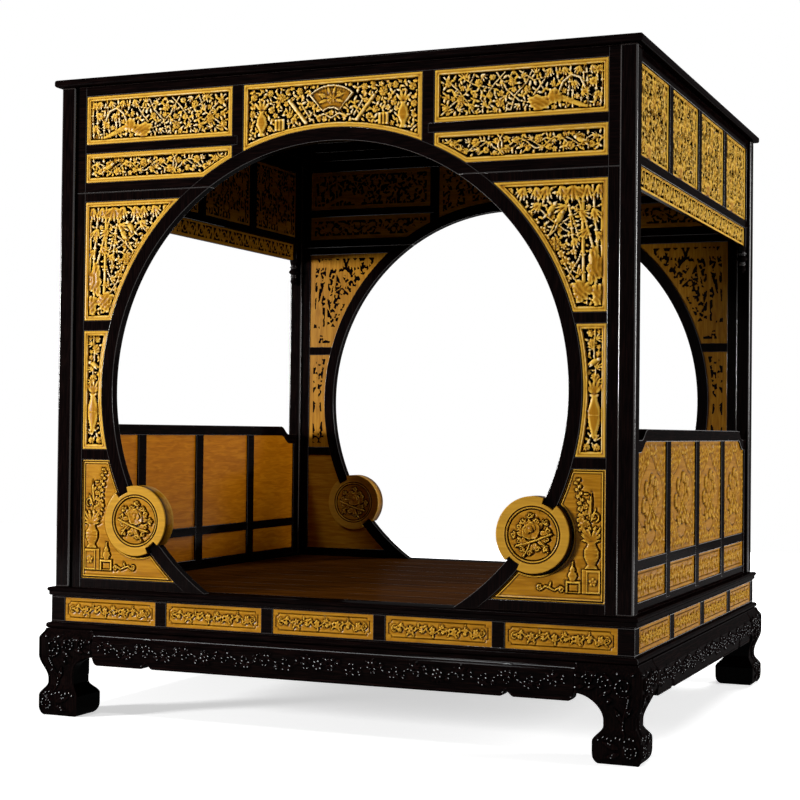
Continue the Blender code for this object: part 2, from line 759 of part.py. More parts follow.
def flipped(window):
    return lambda grow: mirrored(window(grow))


def gate_head():
    """The head of the gate: rails, muntins and the crown of the ring round five windows."""
    foot = HEAD_LOW + FIT
    top = POST_HEIGHT - FIT
    edge = CLEAR_X - FIT
    spring = ring_angle(RING_INNER, foot)
    crown = arc(RING_CENTRE, RING_INNER, math.pi - spring, spring)
    right = [(edge, foot), *tenoned(edge, HEAD_TENONS), (edge, top)]
    outline = right + mirrored(right[::-1]) + crown
    windows = [centre_window]
    for window in (upper_frieze_window, lower_frieze_window):
        windows += [window, flipped(window)]
    frame = plate([outline] + [window(0.0) for window in windows], GATE_THICKNESS)
    return grooved(frame, windows)


def gate_side():
    """One side of the gate: stile, rails and the ring's arcs above and below the roundel."""
    foot = FIT
    top = HEAD_LOW
    edge = CLEAR_X - FIT
    upper_end = ROUNDEL_ANGLE + RING_END
    lower_end = ROUNDEL_ANGLE - RING_END
    outline = [
        (edge, foot),
        *tenoned(edge, SIDE_TENONS),
        (edge, top),
        *arc(RING_CENTRE, RING_INNER, ring_angle(RING_INNER, top), upper_end),
        *arc(RING_CENTRE, RING_OUTER, upper_end, ring_angle(RING_OUTER, CORNER_TOP)),
        (STILE_EDGE, CORNER_TOP),
        (STILE_EDGE, CORNER_LOW),
        *arc(RING_CENTRE, RING_OUTER, ring_angle(RING_OUTER, CORNER_LOW), lower_end),
        *arc(RING_CENTRE, RING_INNER, lower_end, ring_angle(RING_INNER, foot)),
    ]
    return outline, [spandrel_window, narrow_window]


def inside(point, outline):
    """Whether a point lies inside an outline."""
    x, z = point
    found = False
    for (x0, z0), (x1, z1) in zip(outline, outline[1:] + outline[:1]):
        if (z0 > z) != (z1 > z) and x < x0 + (z - z0) * (x1 - x0) / (z1 - z0):
            found = not found
    return found


def leaf(x, z, angle):
    """A bamboo leaf pointing away from its stalk at (x, z)."""
    half = LEAF_WIDTH / 2
    shape = [(0.0, 0.0), (LEAF_LENGTH / 3, -half), (LEAF_LENGTH, 0.0), (LEAF_LENGTH / 3, half)]
    cos, sin = math.cos(angle), math.sin(angle)
    return [(x + u * cos - v * sin, z + u * sin + v * cos) for u, v in shape]


def spaced(low, high, size):
    """Middles of as many things of one size as fit between two ends, at least one, evenly spread."""
    count = max(1, int((high - low + SPRAY_GAP) / (size + SPRAY_GAP)))
    pitch = (high - low) / count
    return [low + (i + 0.5) * pitch for i in range(count)]


def leaf_sprays(field):
    """Sprays of three drooping leaves in rows, less the leaves that would run out of the field."""
    xs = [x for x, _ in field]
    zs = [z for _, z in field]
    reach = LEAF_WIDTH + LEAF_LENGTH
    leaves = []
    for x in spaced(min(xs), max(xs), 2 * reach * math.cos(LEAF_SLOPE)):
        for z in spaced(min(zs), max(zs), reach):
            for angle in (LEAF_SLOPE - math.pi, -math.pi / 2, -LEAF_SLOPE):
                stalk_x = x + LEAF_WIDTH * math.cos(angle)
                stalk_z = z + reach / 2 + LEAF_WIDTH * math.sin(angle)
                shape = leaf(stalk_x, stalk_z, angle)
                if all(inside(point, field) for point in shape):
                    leaves.append(shape)
    return leaves


def leaf_vine(field):
    """Pairs of leaves lying along the middle of a low field, less those that would run out of it."""
    xs = [x for x, _ in field]
    zs = [z for _, z in field]
    lying = leaf(LEAF_WIDTH, (min(zs) + max(zs)) / 2, 0.0)
    leaves = []
    for middle in spaced(min(xs), max(xs), 2 * (LEAF_WIDTH + LEAF_LENGTH)):
        pair = [shifted(lying, middle), shifted(mirrored(lying), middle)]
        leaves += [shape for shape in pair if all(inside(point, field) for point in shape)]
    return leaves


def unpierced(field):
    return []


def panel(window, piercing):
    """A carved panel: a tongued core, pierced with leaves, and a raised border on its outer face."""
    field = window(-PANEL_BORDER)
    core = plate([window(TONGUE)] + piercing(field), PANEL_CORE)
    border = plate([window(-FIT), field], PANEL_FACE)
    border.location = (0.0, 0.0, PANEL_FACE / 2)
    return finished(combine(core, "UNION", [border]))


def ring_end_cutter(side):
    """The end of the ring with its clearance, as it bites into the roundel above (1) or below (-1)."""
    end = ROUNDEL_ANGLE + side * (RING_END - 2 * FIT / RING_MIDDLE)
    far = ROUNDEL_ANGLE + side * 2 * RING_END
    outline = arc(RING_CENTRE, RING_OUTER + FIT, end, far) + arc(RING_CENTRE, RING_INNER - FIT, far, end)
    return plate([outline], ROUNDEL_THICKNESS + 2 * PAST)


def roundel():
    """A thick disc, dished inside a bead on both faces, cut for the ring's ends and the corner's tongue."""
    half = ROUNDEL_THICKNESS / 2
    bead = ROUNDEL_BEAD_RADIUS
    face = [
        (0.0, half - ROUNDEL_DISH),
        (bead - ROUNDEL_BEAD, half - ROUNDEL_DISH),
        (bead, half),
        (ROUNDEL_RADIUS, half - ROUNDEL_DISH),
    ]
    profile = face + [(radius, -height) for radius, height in reversed(face)]
    mesh = bpy.data.meshes.new("profile")
    edges = [(i, i + 1) for i in range(len(profile) - 1)]
    mesh.from_pydata([(radius, 0.0, height) for radius, height in profile], edges, [])
    turned = workpiece(mesh)
    screw = turned.modifiers.new("turn", "SCREW")
    screw.steps = ROUNDEL_STEPS
    screw.render_steps = ROUNDEL_STEPS
    screw.use_merge_vertices = True
    screw.merge_threshold = 1e-5
    shaped(turned)
    turned.location = (*ROUNDEL_CENTRE, 0.0)
    tongue = plate([corner_window(TONGUE + FIT)], PANEL_CORE + 2 * FIT)
    combine(turned, "DIFFERENCE", [ring_end_cutter(1), ring_end_cutter(-1), tongue])
    return finished(turned)


def turned_over(mesh):
    """The same piece for the other half of the gate, mirrored across its middle."""
    other = mesh.copy()
    other.transform(Matrix.Scale(-1.0, 4, (1.0, 0.0, 0.0)))
    other.flip_normals()
    return other


def build_gates():
    outline, windows = gate_side()
    side_frame = plate([outline] + [window(0.0) for window in windows], GATE_THICKNESS)
    halves = {
        "frame": (grooved(side_frame, windows + [corner_window]), rosewood),
        "frieze_upper": (panel(upper_frieze_window, leaf_sprays), nanmu),
        "frieze_lower": (panel(lower_frieze_window, leaf_vine), nanmu),
        "spandrel": (panel(spandrel_window, leaf_sprays), nanmu),
        "narrow": (panel(narrow_window, leaf_sprays), nanmu),
        "corner": (panel(corner_window, unpierced), nanmu),
        "roundel": (roundel(), nanmu),
    }
    whole = {
        "head": (gate_head(), rosewood),
        "frieze_centre": (panel(centre_window, leaf_sprays), nanmu),
    }
    mirrors = {kind: turned_over(mesh) for kind, (mesh, _) in halves.items()}
    depth = HALF_Y - POST_SIDE / 2
    for gate, sign, angle in (("front", -1, 0.0), ("back", 1, math.pi)):
        turn = facing(angle)
        location = (0.0, sign * depth, SEAT)
        for kind, (mesh, material) in whole.items():
            place(f"gate_{gate}_{kind}", mesh, material, turn, location)
        sides = ("right", "left") if gate == "front" else ("left", "right")
        for kind, (mesh, material) in halves.items():
            place(f"gate_{gate}_{kind}_{sides[0]}", mesh, material, turn, location)
            place(f"gate_{gate}_{kind}_{sides[1]}", mirrors[kind], material, turn, location)


def side_bays(stile, muntin):
    """Start and end of each panel along a side, between the posts."""
    run = 2 * (CLEAR_Y - stile)
    width = (run - (SIDE_PANELS - 1) * muntin) / SIDE_PANELS
    starts = [-run / 2 + i * (width + muntin) for i in range(SIDE_PANELS)]
    return [(start, start + width) for start in starts]


def step_line(y, level):
    """The curve by which a line steps down towards the right-hand post and ends at y."""
    upright = eased([(level, y - RAILING_STEP_LENGTH), (level - RAILING_STEP, y)])
    return [(along, height) for height, along in upright]


def stepped(half, foot, level, step_end):
    """The right half of an outline with a level top, stepped down near its end: from the foot up."""
    return [(half, foot), (half, level - RAILING_STEP), *step_line(step_end, level)[::-1]]


def medallion(middle, low, high):
    """An upright oval drawn in to a point at the top and the bottom, as on the tall panels."""
    half_y = MEDALLION_WIDTH / 2
    half_z = MEDALLION_HEIGHT / 2
    centre = (low + high) / 2
    outline = []
    steps = 4 * WAVE_STEPS
    for i in range(steps):
        cos, sin = math.cos(2 * math.pi * i / steps), math.sin(2 * math.pi * i / steps)
        outline.append((middle + half_y * cos * abs(cos), centre + half_z * sin))
    return outline


def railing():
    """A side railing: a frame with stepped ends, small panels below and tall ones with medallions above."""
    edge = CLEAR_Y - FIT
    step_end = CLEAR_Y - RAILING_STEP_START + RAILING_STEP_LENGTH
    right = stepped(edge, FIT, RAILING_HEIGHT, step_end)
    right[1:1] = tenoned(edge, RAILING_TENONS)
    small_low = RAILING_BOTTOM_RAIL
    small_top = small_low + RAILING_SMALL_HEIGHT
    tall_low = small_top + RAILING_MID_RAIL
    tall_top = RAILING_HEIGHT - RAILING_TOP_RAIL
    window_half = CLEAR_Y - RAILING_STILE
    window_step = step_end + RAILING_STEP_OFFSET
    bays = side_bays(RAILING_STILE, RAILING_MUNTIN)
    end_start = bays[-1][0]
    end_window = stepped(window_half, tall_low, tall_top, window_step)
    end_window += [(end_start, tall_top), (end_start, tall_low)]
    windows = [end_window, mirrored(end_window)]
    windows += [rectangle(*bay, small_low, small_top) for bay in bays]
    windows += [rectangle(*bay, tall_low, tall_top) for bay in bays[1:-1]]
    frame = plate([right + mirrored(right[::-1])] + windows, SIDE_THICKNESS)
    half = window_half + TONGUE
    board_right = stepped(half, small_low - TONGUE, tall_top + TONGUE, window_step + TONGUE)
    rest = [plate([board_right + mirrored(board_right[::-1])], SIDE_CORE)]
    relief = SIDE_CORE / 2 + MEDALLION_RELIEF
    for start, end in bays:
        raised = plate([medallion((start + end) / 2, tall_low, tall_top - RAILING_STEP)], relief)
        raised.location = (0.0, 0.0, relief / 2)
        rest.append(raised)
    return finished(combine(frame, "UNION", rest))


def side_frieze():
    """A side frieze: four pierced panels in a frame, a pierced band under it and a pendant at each end."""
    edge = CLEAR_Y - FIT
    top = POST_HEIGHT - FIT
    panel_top = POST_HEIGHT - FRIEZE_TOP_RAIL
    panel_low = panel_top - FRIEZE_PANEL
    rail_low = panel_low - FRIEZE_LOW_RAIL
    band_low = rail_low - FRIEZE_BAND
    tip = band_low - PENDANT_DROP
    pendant_in = edge - PENDANT_WIDTH
    neck = tip + PENDANT_DROP / 3
    right = tenoned(edge, SIDE_FRIEZE_TENONS)
    foot = [
        (pendant_in, rail_low),
        (pendant_in, neck + PENDANT_NECK),
        (pendant_in + PENDANT_NECK, neck),
        (pendant_in, neck - PENDANT_NECK),
        (pendant_in + PENDANT_NECK, tip),
        (edge - PENDANT_NECK, tip),
        (edge, neck - PENDANT_NECK),
    ]
    outline = [*foot, *right, (edge, top), (-edge, top), *mirrored(right[::-1]), *mirrored(foot[::-1])]
    bays = side_bays(FRIEZE_STILE, FRIEZE_MUNTIN)
    windows = [rectangle(start, end, panel_low, panel_top) for start, end in bays]
    frame = plate([outline] + windows, SIDE_THICKNESS)
    board_half = CLEAR_Y - FRIEZE_STILE + TONGUE
    band_half = pendant_in + TONGUE
    board_right = [
        (band_half, band_low),
        (band_half, rail_low),
        (board_half, rail_low + TONGUE),
        (board_half, panel_top + TONGUE),
    ]
    margin = PANEL_BORDER / 2
    holes = leaf_vine(rectangle(-pendant_in, pendant_in, band_low, rail_low))
    for start, end in bays:
        holes += leaf_sprays(rectangle(start + margin, end - margin, panel_low + margin, panel_top - margin))
    board = plate([board_right + mirrored(board_right[::-1])] + holes, SIDE_CORE)
    return finished(combine(frame, "UNION", [board]))


def build_sides():
    depth = HALF_X - POST_SIDE / 2
    for kind, mesh in (("railing", railing()), ("side_frieze", side_frieze())):
        for side, sign, angle in (("right", 1, 0.0), ("left", -1, math.pi)):
            turn = facing(math.pi / 2 + angle)
            place(f"{kind}_{side}", mesh, rosewood, turn, (sign * depth, 0.0, SEAT))


def build_canopy():
    """A cornice frame with rounded edges over the posts, and a battened ceiling tongued into it."""
    low = SEAT + POST_HEIGHT
    outer_x, outer_y = HALF_X + CANOPY_SPREAD, HALF_Y + CANOPY_SPREAD
    inner_x, inner_y = HALF_X - CANOPY_REACH, HALF_Y - CANOPY_REACH
    outside = rectangle(-outer_x, outer_x, -outer_y, outer_y)
    opening = rectangle(-inner_x, inner_x, -inner_y, inner_y)
    frame = plate([outside, opening], CANOPY_HEIGHT)
    rounder = bmesh.new()
    rounder.from_mesh(frame.data)
    rim = [
        edge for edge in rounder.edges
        if all(abs(v.co.x) > inner_x + FIT or abs(v.co.y) > inner_y + FIT for v in edge.verts)
        and abs(edge.verts[0].co.z - edge.verts[1].co.z) < FIT
        and not all(abs(face.normal.z) > 0.5 for face in edge.link_faces)
    ]
    bmesh.ops.bevel(rounder, geom=rim, offset=CANOPY_ROUND, segments=3, affect="EDGES", profile=0.5)
    rounder.to_mesh(frame.data)
    rounder.free()
    middle = low + CANOPY_HEIGHT / 2
    frame.location = (0.0, 0.0, middle)
    half = TENON_SIDE / 2 + FIT
    cutters = []
    deep = low + TENON_LENGTH + 2 * FIT
    for _, sign_x, sign_y in CORNERS:
        x, y = sign_x * (HALF_X - POST_SIDE / 2), sign_y * (HALF_Y - POST_SIDE / 2)
        cutters.append(box((x - half, y - half, low - PAST), (x + half, y + half, deep)))
    tongue_x, tongue_y = inner_x + TONGUE, inner_y + TONGUE
    groove_x, groove_y = tongue_x + FIT, tongue_y + FIT
    groove = plate([rectangle(-groove_x, groove_x, -groove_y, groove_y)], CEILING_CORE + 2 * FIT)
    groove.location = (0.0, 0.0, middle)
    combine(frame, "DIFFERENCE", cutters + [groove])
    place("canopy_frame", finished(frame), rosewood)
    ceiling_x, ceiling_y = inner_x - FIT, inner_y - FIT
    board = plate([rectangle(-tongue_x, tongue_x, -tongue_y, tongue_y)], CEILING_CORE)
    board.location = (0.0, 0.0, middle)
    bays = []
    bay_x = (2 * ceiling_x - (CEILING_PANELS_LONG + 1) * CEILING_BATTEN) / CEILING_PANELS_LONG
    bay_y = (2 * ceiling_y - (CEILING_PANELS_SHORT + 1) * CEILING_BATTEN) / CEILING_PANELS_SHORT
    for i in range(CEILING_PANELS_LONG):
        for j in range(CEILING_PANELS_SHORT):
            x0 = -ceiling_x + CEILING_BATTEN + i * (bay_x + CEILING_BATTEN)
            y0 = -ceiling_y + CEILING_BATTEN + j * (bay_y + CEILING_BATTEN)
            bays.append(rectangle(x0, x0 + bay_x, y0, y0 + bay_y))
    battens = plate([rectangle(-ceiling_x, ceiling_x, -ceiling_y, ceiling_y)] + bays, CEILING_BATTEN_HEIGHT)
    battens.location = (0.0, 0.0, middle - CEILING_BATTEN_HEIGHT / 2)
    combine(board, "UNION", [battens])
    place("canopy_ceiling", finished(board), rosewood)


for old in list(bpy.data.objects):
    bpy.data.objects.remove(old)
pieces = bpy.data.collections.new("moon_gate_bed")
bpy.context.scene.collection.children.link(pieces)
bed = bpy.data.objects.new("bed_origin", None)
pieces.objects.link(bed)
rosewood = wood("dark rosewood", (0.030, 0.010, 0.007), 0.35)
nanmu = wood("golden nanmu", (0.560, 0.300, 0.055), 0.40)

build_legs()
build_base()
build_deck()
build_posts()
build_gates()
build_sides()
build_canopy()
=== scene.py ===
import math
import types

import bpy
import numpy as np
from mathutils import Matrix, Vector


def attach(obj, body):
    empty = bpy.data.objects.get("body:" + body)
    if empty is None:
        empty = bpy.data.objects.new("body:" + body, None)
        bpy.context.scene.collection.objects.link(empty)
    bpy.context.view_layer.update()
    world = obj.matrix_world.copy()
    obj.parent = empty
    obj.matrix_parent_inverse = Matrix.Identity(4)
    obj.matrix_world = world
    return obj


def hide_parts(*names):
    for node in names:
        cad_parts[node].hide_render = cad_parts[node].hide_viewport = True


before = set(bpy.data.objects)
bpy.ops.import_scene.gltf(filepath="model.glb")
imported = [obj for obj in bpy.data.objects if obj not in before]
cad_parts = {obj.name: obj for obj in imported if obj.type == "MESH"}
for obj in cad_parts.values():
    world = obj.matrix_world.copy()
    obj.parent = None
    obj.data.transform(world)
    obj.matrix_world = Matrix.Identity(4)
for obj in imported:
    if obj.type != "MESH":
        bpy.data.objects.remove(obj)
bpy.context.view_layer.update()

# Legs. Four cabriole legs of dark rosewood, each sawn from one block, with wings that meet the aprons and a
# scroll foot. The outer faces are carved with curling leaves, and a round boss stands on each face of the
# foot.
BED_X, BED_Y = 1.1, 1.0
POST_OUT = {"front": BED_Y, "back": BED_Y, "left": BED_X, "right": BED_X}
SIDES = {
    "front": np.array([(1, 0, 0), (0, 0, 1), (0, -1, 0)], float),
    "right": np.array([(0, 1, 0), (0, 0, 1), (1, 0, 0)], float),
    "back": np.array([(-1, 0, 0), (0, 0, 1), (0, 1, 0)], float),
    "left": np.array([(0, -1, 0), (0, 0, 1), (-1, 0, 0)], float),
}


def linear(colour):
    """A colour written as sRGB hex, turned to linear light, with full alpha."""
    parts = [int(colour[i : i + 2], 16) / 255 for i in (1, 3, 5)]
    return (*[c / 12.92 if c <= 0.04045 else ((c + 0.055) / 1.055) ** 2.4 for c in parts], 1.0)


def add(tree, kind, values=None, **settings):
    """Adds a shader node: settings are its properties, and values its inputs or outputs to link to them."""
    made = tree.nodes.new("ShaderNode" + kind)
    for key, value in settings.items():
        setattr(made, key, value)
    for key, value in (values or {}).items():
        if isinstance(value, bpy.types.NodeSocket):
            tree.links.new(value, made.inputs[key])
        else:
            made.inputs[key].default_value = value
    return made


def shades(ramp, stops):
    """Sets a colour ramp to (place, hex colour) stops."""
    while len(ramp.elements) < len(stops):
        ramp.elements.new(1.0)
    for element, (place, colour) in zip(ramp.elements, stops):
        element.position = place
        element.color = linear(colour)


def ranged(tree, value, start, end, low=0.0, high=1.0):
    """A value turned evenly from the range start to end into the range low to high, and kept within it."""
    limits = {"From Min": start, "From Max": end, "To Min": low, "To Max": high}
    return add(tree, "MapRange", {"Value": value, **limits}).outputs[0]


def blend(tree, share, first, second):
    """The first colour, mixed with a share of the second."""
    return add(tree, "Mix", {0: share, 6: first, 7: second}, data_type="RGBA").outputs[2]


def grained(name, grain, figure, stops):
    """A new wood: noise of a figure, drawn out along the grain by a share for X, Y and Z, as a ramp of tones.

    Gives the material and its outputs: the drawn-out places, the noise, the tones and the "hollow" values.
    """
    material = bpy.data.materials.new(name)
    material.use_nodes = True
    tree = material.node_tree
    place = add(tree, "TexCoord")
    along = add(tree, "Mapping", {"Vector": place.outputs["Object"], "Scale": grain}).outputs[0]
    noise = add(tree, "TexNoise", {"Vector": along, **figure}).outputs["Fac"]
    tone = add(tree, "ValToRGB", {"Fac": noise})
    shades(tone.color_ramp, stops)
    hollow = add(tree, "Attribute", attribute_name="hollow")
    return material, along, noise, tone.outputs["Color"], hollow.outputs["Fac"]


def finished(material, colour, sheen, roughness, relief, depth, coat, coat_roughness):
    """Gives a wood its colour, a roughness driven by sheen, a fine bump, and a clear coat on top."""
    tree = material.node_tree
    shader = tree.nodes["Principled BSDF"]
    rough = ranged(tree, sheen, 0.0, 1.0, *roughness)
    bump = add(tree, "Bump", {"Height": relief, "Strength": depth, "Distance": 0.0004}).outputs[0]
    for socket, output in (("Base Color", colour), ("Roughness", rough), ("Normal", bump)):
        tree.links.new(output, shader.inputs[socket])
    for socket, value in (("Specular IOR Level", 0.0), ("Coat Weight", coat),
                          ("Coat Roughness", coat_roughness)):
        shader.inputs[socket].default_value = value
    return material


# The pale grey of the painted glints on the crests of carved rosewood.
PAINTED_GLINT_ON_ROSEWOOD = "#d2d6d8"


def rosewood(name, grain, colours=("#030101", "#070303", "#110706"), lacquer=0.022):
    """Rosewood under a thin satin lacquer: nearly black heartwood with red-brown streaks along the grain.

    The streaks are about 4 mm wide and the pores 1 mm. The "hollow" attribute of carved pieces gives painted
    shade in the cuts, a redder painted highlight on the ridges, and, below -1, painted glints on the crests
    that look like points of light.
    """
    figure = {"Scale": 250.0, "Detail": 5.0, "Distortion": 0.4}
    stops = list(zip((0.36, 0.50, 0.66), colours))
    material, along, streaks, tone, hollow = grained(name, grain, figure, stops)
    tree = material.node_tree
    # Painted shade in the cuts and a painted highlight on the ridges, then painted glints on the crests.
    painted_shade_and_highlight = ranged(tree, hollow, -0.6, 0.6, 1.7, 0.35)
    lit = add(tree, "VectorMath", {0: tone, "Scale": painted_shade_and_highlight}, operation="SCALE").outputs[0]
    with_painted_glints = blend(tree, ranged(tree, hollow, -1.1, -1.8), lit, linear(PAINTED_GLINT_ON_ROSEWOOD))
    pores = add(tree, "TexNoise", {"Vector": along, "Scale": 1000.0, "Detail": 2.0}).outputs["Fac"]
    return finished(material, with_painted_glints, streaks, (0.20, 0.34), pores, 0.05, lacquer, 0.09)


rosewood_upright = rosewood("rosewood, upright grain", (1.0, 1.0, 0.05))
rosewood_along_x = rosewood("rosewood, grain along the gates", (0.05, 1.0, 1.0))
rosewood_along_y = rosewood("rosewood, grain along the sides", (1.0, 0.05, 1.0))
# The rounded arrises are painted a little greyer as a highlight, and their thick lacquer is bright in thin
# lines under the lights.
ARRIS_PAINTED_HIGHLIGHT = ("#1c1716", "#241e1c", "#2e2725")
arris_gloss_and_painted_highlight = rosewood("rosewood, polished arris with painted highlight", (1.0, 1.0, 1.0), ARRIS_PAINTED_HIGHLIGHT, 0.9)
ROSEWOOD_OF = {"front": rosewood_along_x, "back": rosewood_along_x, "left": rosewood_along_y,
               "right": rosewood_along_y}


def quads(rows, columns, closed=False):
    """Corner numbers of a grid's quads, row by row. A closed grid joins its last column to its first."""
    index = np.arange(rows * columns).reshape(rows, columns)
    beside = np.roll(index, -1, axis=1)
    corners = np.stack([index[:-1], beside[:-1], beside[1:], index[1:]], axis=-1)
    return (corners if closed else corners[:, :-1]).reshape(-1, 4)


def tube(rows, columns, inside_out=False):
    """Faces of a grid that is closed round into a tube, with one face over each end."""
    around = np.arange(columns)[None]
    faces = [quads(rows, columns, True), around[:, ::-1], around + (rows - 1) * columns]
    return [f[:, ::-1] for f in faces] if inside_out else faces


def piece(name, parts, material, replaces=None, hollow=None, bevel=0.0):
    """One object from parts, each (points, face arrays). It rides on the bed, and may stand for a CAD node.

    hollow is a value per point or face corner for the material, and bevel the width of the glossy arrises,
    painted lighter as a highlight, that edges sharper than 30 degrees get. Edges sharper than 32 degrees stay
    sharp in shading.
    """
    points = np.concatenate([np.asarray(p, float).reshape(-1, 3) for p, _ in parts])
    starts = np.cumsum([0] + [np.asarray(p).size // 3 for p, _ in parts])
    faces = [np.asarray(f) + start for start, (_, group) in zip(starts, parts) for f in group]
    corners = np.concatenate([f.ravel() for f in faces])
    sizes = np.concatenate([np.full(len(f), f.shape[1]) for f in faces])
    mesh = bpy.data.meshes.new(name)
    mesh.vertices.add(len(points))
    mesh.vertices.foreach_set("co", points.ravel())
    mesh.loops.add(len(corners))
    mesh.loops.foreach_set("vertex_index", corners.astype(np.int32))
    mesh.polygons.add(len(sizes))
    mesh.polygons.foreach_set("loop_start", (np.cumsum(sizes) - sizes).astype(np.int32))
    mesh.polygons.foreach_set("use_smooth", np.ones(len(sizes), bool))
    mesh.update(calc_edges=True)
    if hollow is not None:
        domain = "POINT" if hollow.size == len(points) else "CORNER"
        mesh.attributes.new("hollow", "FLOAT", domain).data.foreach_set("value", hollow.ravel())
    mesh.set_sharp_from_angle(angle=math.radians(32.0))
    mesh.materials.append(material)
    made = bpy.data.objects.new(name, mesh)
    bpy.context.scene.collection.objects.link(made)
    if bevel:
        rounded = made.modifiers.new("rounded edges", "BEVEL")
        rounded.width = bevel
        rounded.segments = 3
        rounded.limit_method = "ANGLE"
        # The bevel's faces get the arris material: glossy, and painted lighter as a highlight.
        mesh.materials.append(arris_gloss_and_painted_highlight)
        rounded.material = 1
        rounded.harden_normals = True
    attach(made, "root")
    if replaces:
        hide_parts(replaces)


def eased(x, stops):
    """A waving line through (place, value) turning points, level at each: cosine steps between them."""
    places, values = np.array(stops, float).T
    i = np.clip(np.searchsorted(places, x, side="right") - 1, 0, len(places) - 2)
    share = np.clip((x - places[i]) / (places[i + 1] - places[i]), 0.0, 1.0)
    return values[i] + (values[i + 1] - values[i]) * (1 - np.cos(np.pi * share)) / 2


def uncut(u, v):
    """Uncarved wood: points u along and v up, with edge, how far inside a motif each one lies, and lift."""
    return types.SimpleNamespace(u=u, v=v, edge=np.full(u.shape, -0.03), lift=np.zeros(u.shape))


def lay(wood, centre, reach, shape):
    """Lays a motif where it stands higher than the wood: shape gives edge and lift, measured from centre."""
    margin = 0.022
    du, dv = wood.u - centre[0], wood.v - centre[1]
    near = (np.abs(du) < reach + margin) & (np.abs(dv) < reach + margin)
    edge, lift = shape(du[near], dv[near])
    wood.lift[near] = np.where((edge > 0) & (lift > wood.lift[near]), lift, wood.lift[near])
    wood.edge[near] = np.maximum(wood.edge[near], edge)


def dome(share):
    """The height of a half-round section at a share of the way in from its edge: a quarter circle."""
    inward = np.clip(share, 0.0, 1.0)
    return np.sqrt(inward * (2.0 - inward))


def lay_stem(wood, path, width, base=0.002, rise=0.004, taper=1.0):
    """A round stem along points: half-round across, its width going to taper times itself at the tip."""
    path = np.asarray(path, float)
    widths = np.linspace(width, width * taper, len(path)) / 2
    for start, end, r0, r1 in zip(path, path[1:], widths, widths[1:]):
        run = end - start
        length = max(np.hypot(*run), 1e-6)

        def shape(du, dv):
            t = np.clip((du * run[0] + dv * run[1]) / length**2, 0.0, 1.0)
            half = r0 + (r1 - r0) * t
            edge = half - np.hypot(du - t * run[0], dv - t * run[1])
            return edge, base + rise * dome(edge / half)

        lay(wood, start, length + max(r0, r1), shape)


def lay_leaf(wood, root, angle, length, width, base=0.003, rise=0.005, belly=0.42, crease=0.0016):
    """A pointed leaf from its root: a sine outline widest at belly, domed across, creased along its rib."""
    cos, sin = np.cos(angle), np.sin(angle)
    power = np.log(0.5) / np.log(belly)

    def shape(du, dv):
        along, across = du * cos + dv * sin, np.abs(dv * cos - du * sin)
        t = np.clip(along / length, 1e-4, 1 - 1e-4)
        half = width / 2 * np.sin(np.pi * t**power) ** 0.85
        beyond = np.maximum(np.maximum(-along, along - length), 0.0)
        edge = np.where(beyond > 0, -np.hypot(beyond, across), half - across)
        rib = np.exp(-((across / (0.10 * width + 0.0006)) ** 2))
        domed = dome(edge / np.maximum(half, 1e-5)) * (0.65 + 0.35 * np.sin(np.pi * t))
        return edge, base + rise * (domed + 0.25 * t) - crease * rib

    lay(wood, root, length, shape)


def lay_oval(wood, centre, size, turn=0.0, base=0.002, rise=0.006):
    """A domed oval of half sizes along and across its own axis."""
    cos, sin = np.cos(turn), np.sin(turn)

    def shape(du, dv):
        out = np.hypot((du * cos + dv * sin) / size[0], (dv * cos - du * sin) / size[1])
        return (1 - out) * min(size), base + rise * dome(1 - out)

    lay(wood, centre, max(size), shape)


def lay_blossom(wood, centre, radius, petals=5, turn=0.0, base=0.003, rise=0.006):
    """An open flower: the rim is a circle drawn in between the petals, and a boss stands in the middle."""

    def shape(du, dv):
        r, angle = np.hypot(du, dv), np.arctan2(dv, du) - turn
        lobe = np.abs(np.cos(petals * angle / 2))
        rim = radius * (0.62 + 0.38 * lobe**0.7)
        share = np.clip(r / rim, 0.0, 1.0)
        cup = (0.30 + 0.70 * np.sin(0.8 * np.pi * share**1.3)) * (0.55 + 0.45 * lobe)
        cup *= np.clip((rim - r) / (0.25 * radius), 0.0, 1.0) ** 0.4
        boss = 0.95 * np.sqrt(np.clip(1 - (r / (0.26 * radius)) ** 2, 0.0, 1.0))
        return rim - r, base + rise * np.maximum(cup, boss)

    lay(wood, centre, radius, shape)


def curl(centre, radius, start, turns, points=18):
    """Points on a spiral that winds in from radius to a fifth of it."""
    t = np.linspace(0.0, 1.0, points)
    angle = start + 2 * np.pi * turns * t
    r = radius * (1 - 0.8 * t)
    return np.stack([centre[0] + r * np.cos(angle), centre[1] + r * np.sin(angle)], axis=-1)


def blurred(values, cells):
    """Each value's mean over a square of cells on either side, from running sums both ways of the grid."""
    for axis in (0, 1):
        padded = np.pad(values, [(cells + 1, cells) if i == axis else (0, 0) for i in (0, 1)], mode="edge")
        total = np.cumsum(padded, axis=axis)
        size = values.shape[axis]
        upper = np.take(total, range(2 * cells + 1, 2 * cells + 1 + size), axis=axis)
        values = (upper - np.take(total, range(size), axis=axis)) / (2 * cells + 1)
    return values


def hollows(lift, cells=3, depth=0.0025, least=-1.0):
    """How much lower each point lies than the wood round it, from least on a ridge to 1 in a cut."""
    return np.clip((blurred(lift, cells) - lift) / depth, least, 1.0)


# -2 marks a crest that the materials paint as a glint.
def crested(lift, dips, least=0.003):
    """Dips with -2 at the crests: points over least that are the highest of the two cells all round them."""
    around = [np.roll(lift, (i, j), axis=(0, 1)) for i in range(-2, 3) for j in range(-2, 3)]
    return np.where((lift > least) & (lift >= np.max(around, axis=0)), -2.0, dips)


ANKLE, WING, BASE_TOP = 0.136, 0.223, 0.3196


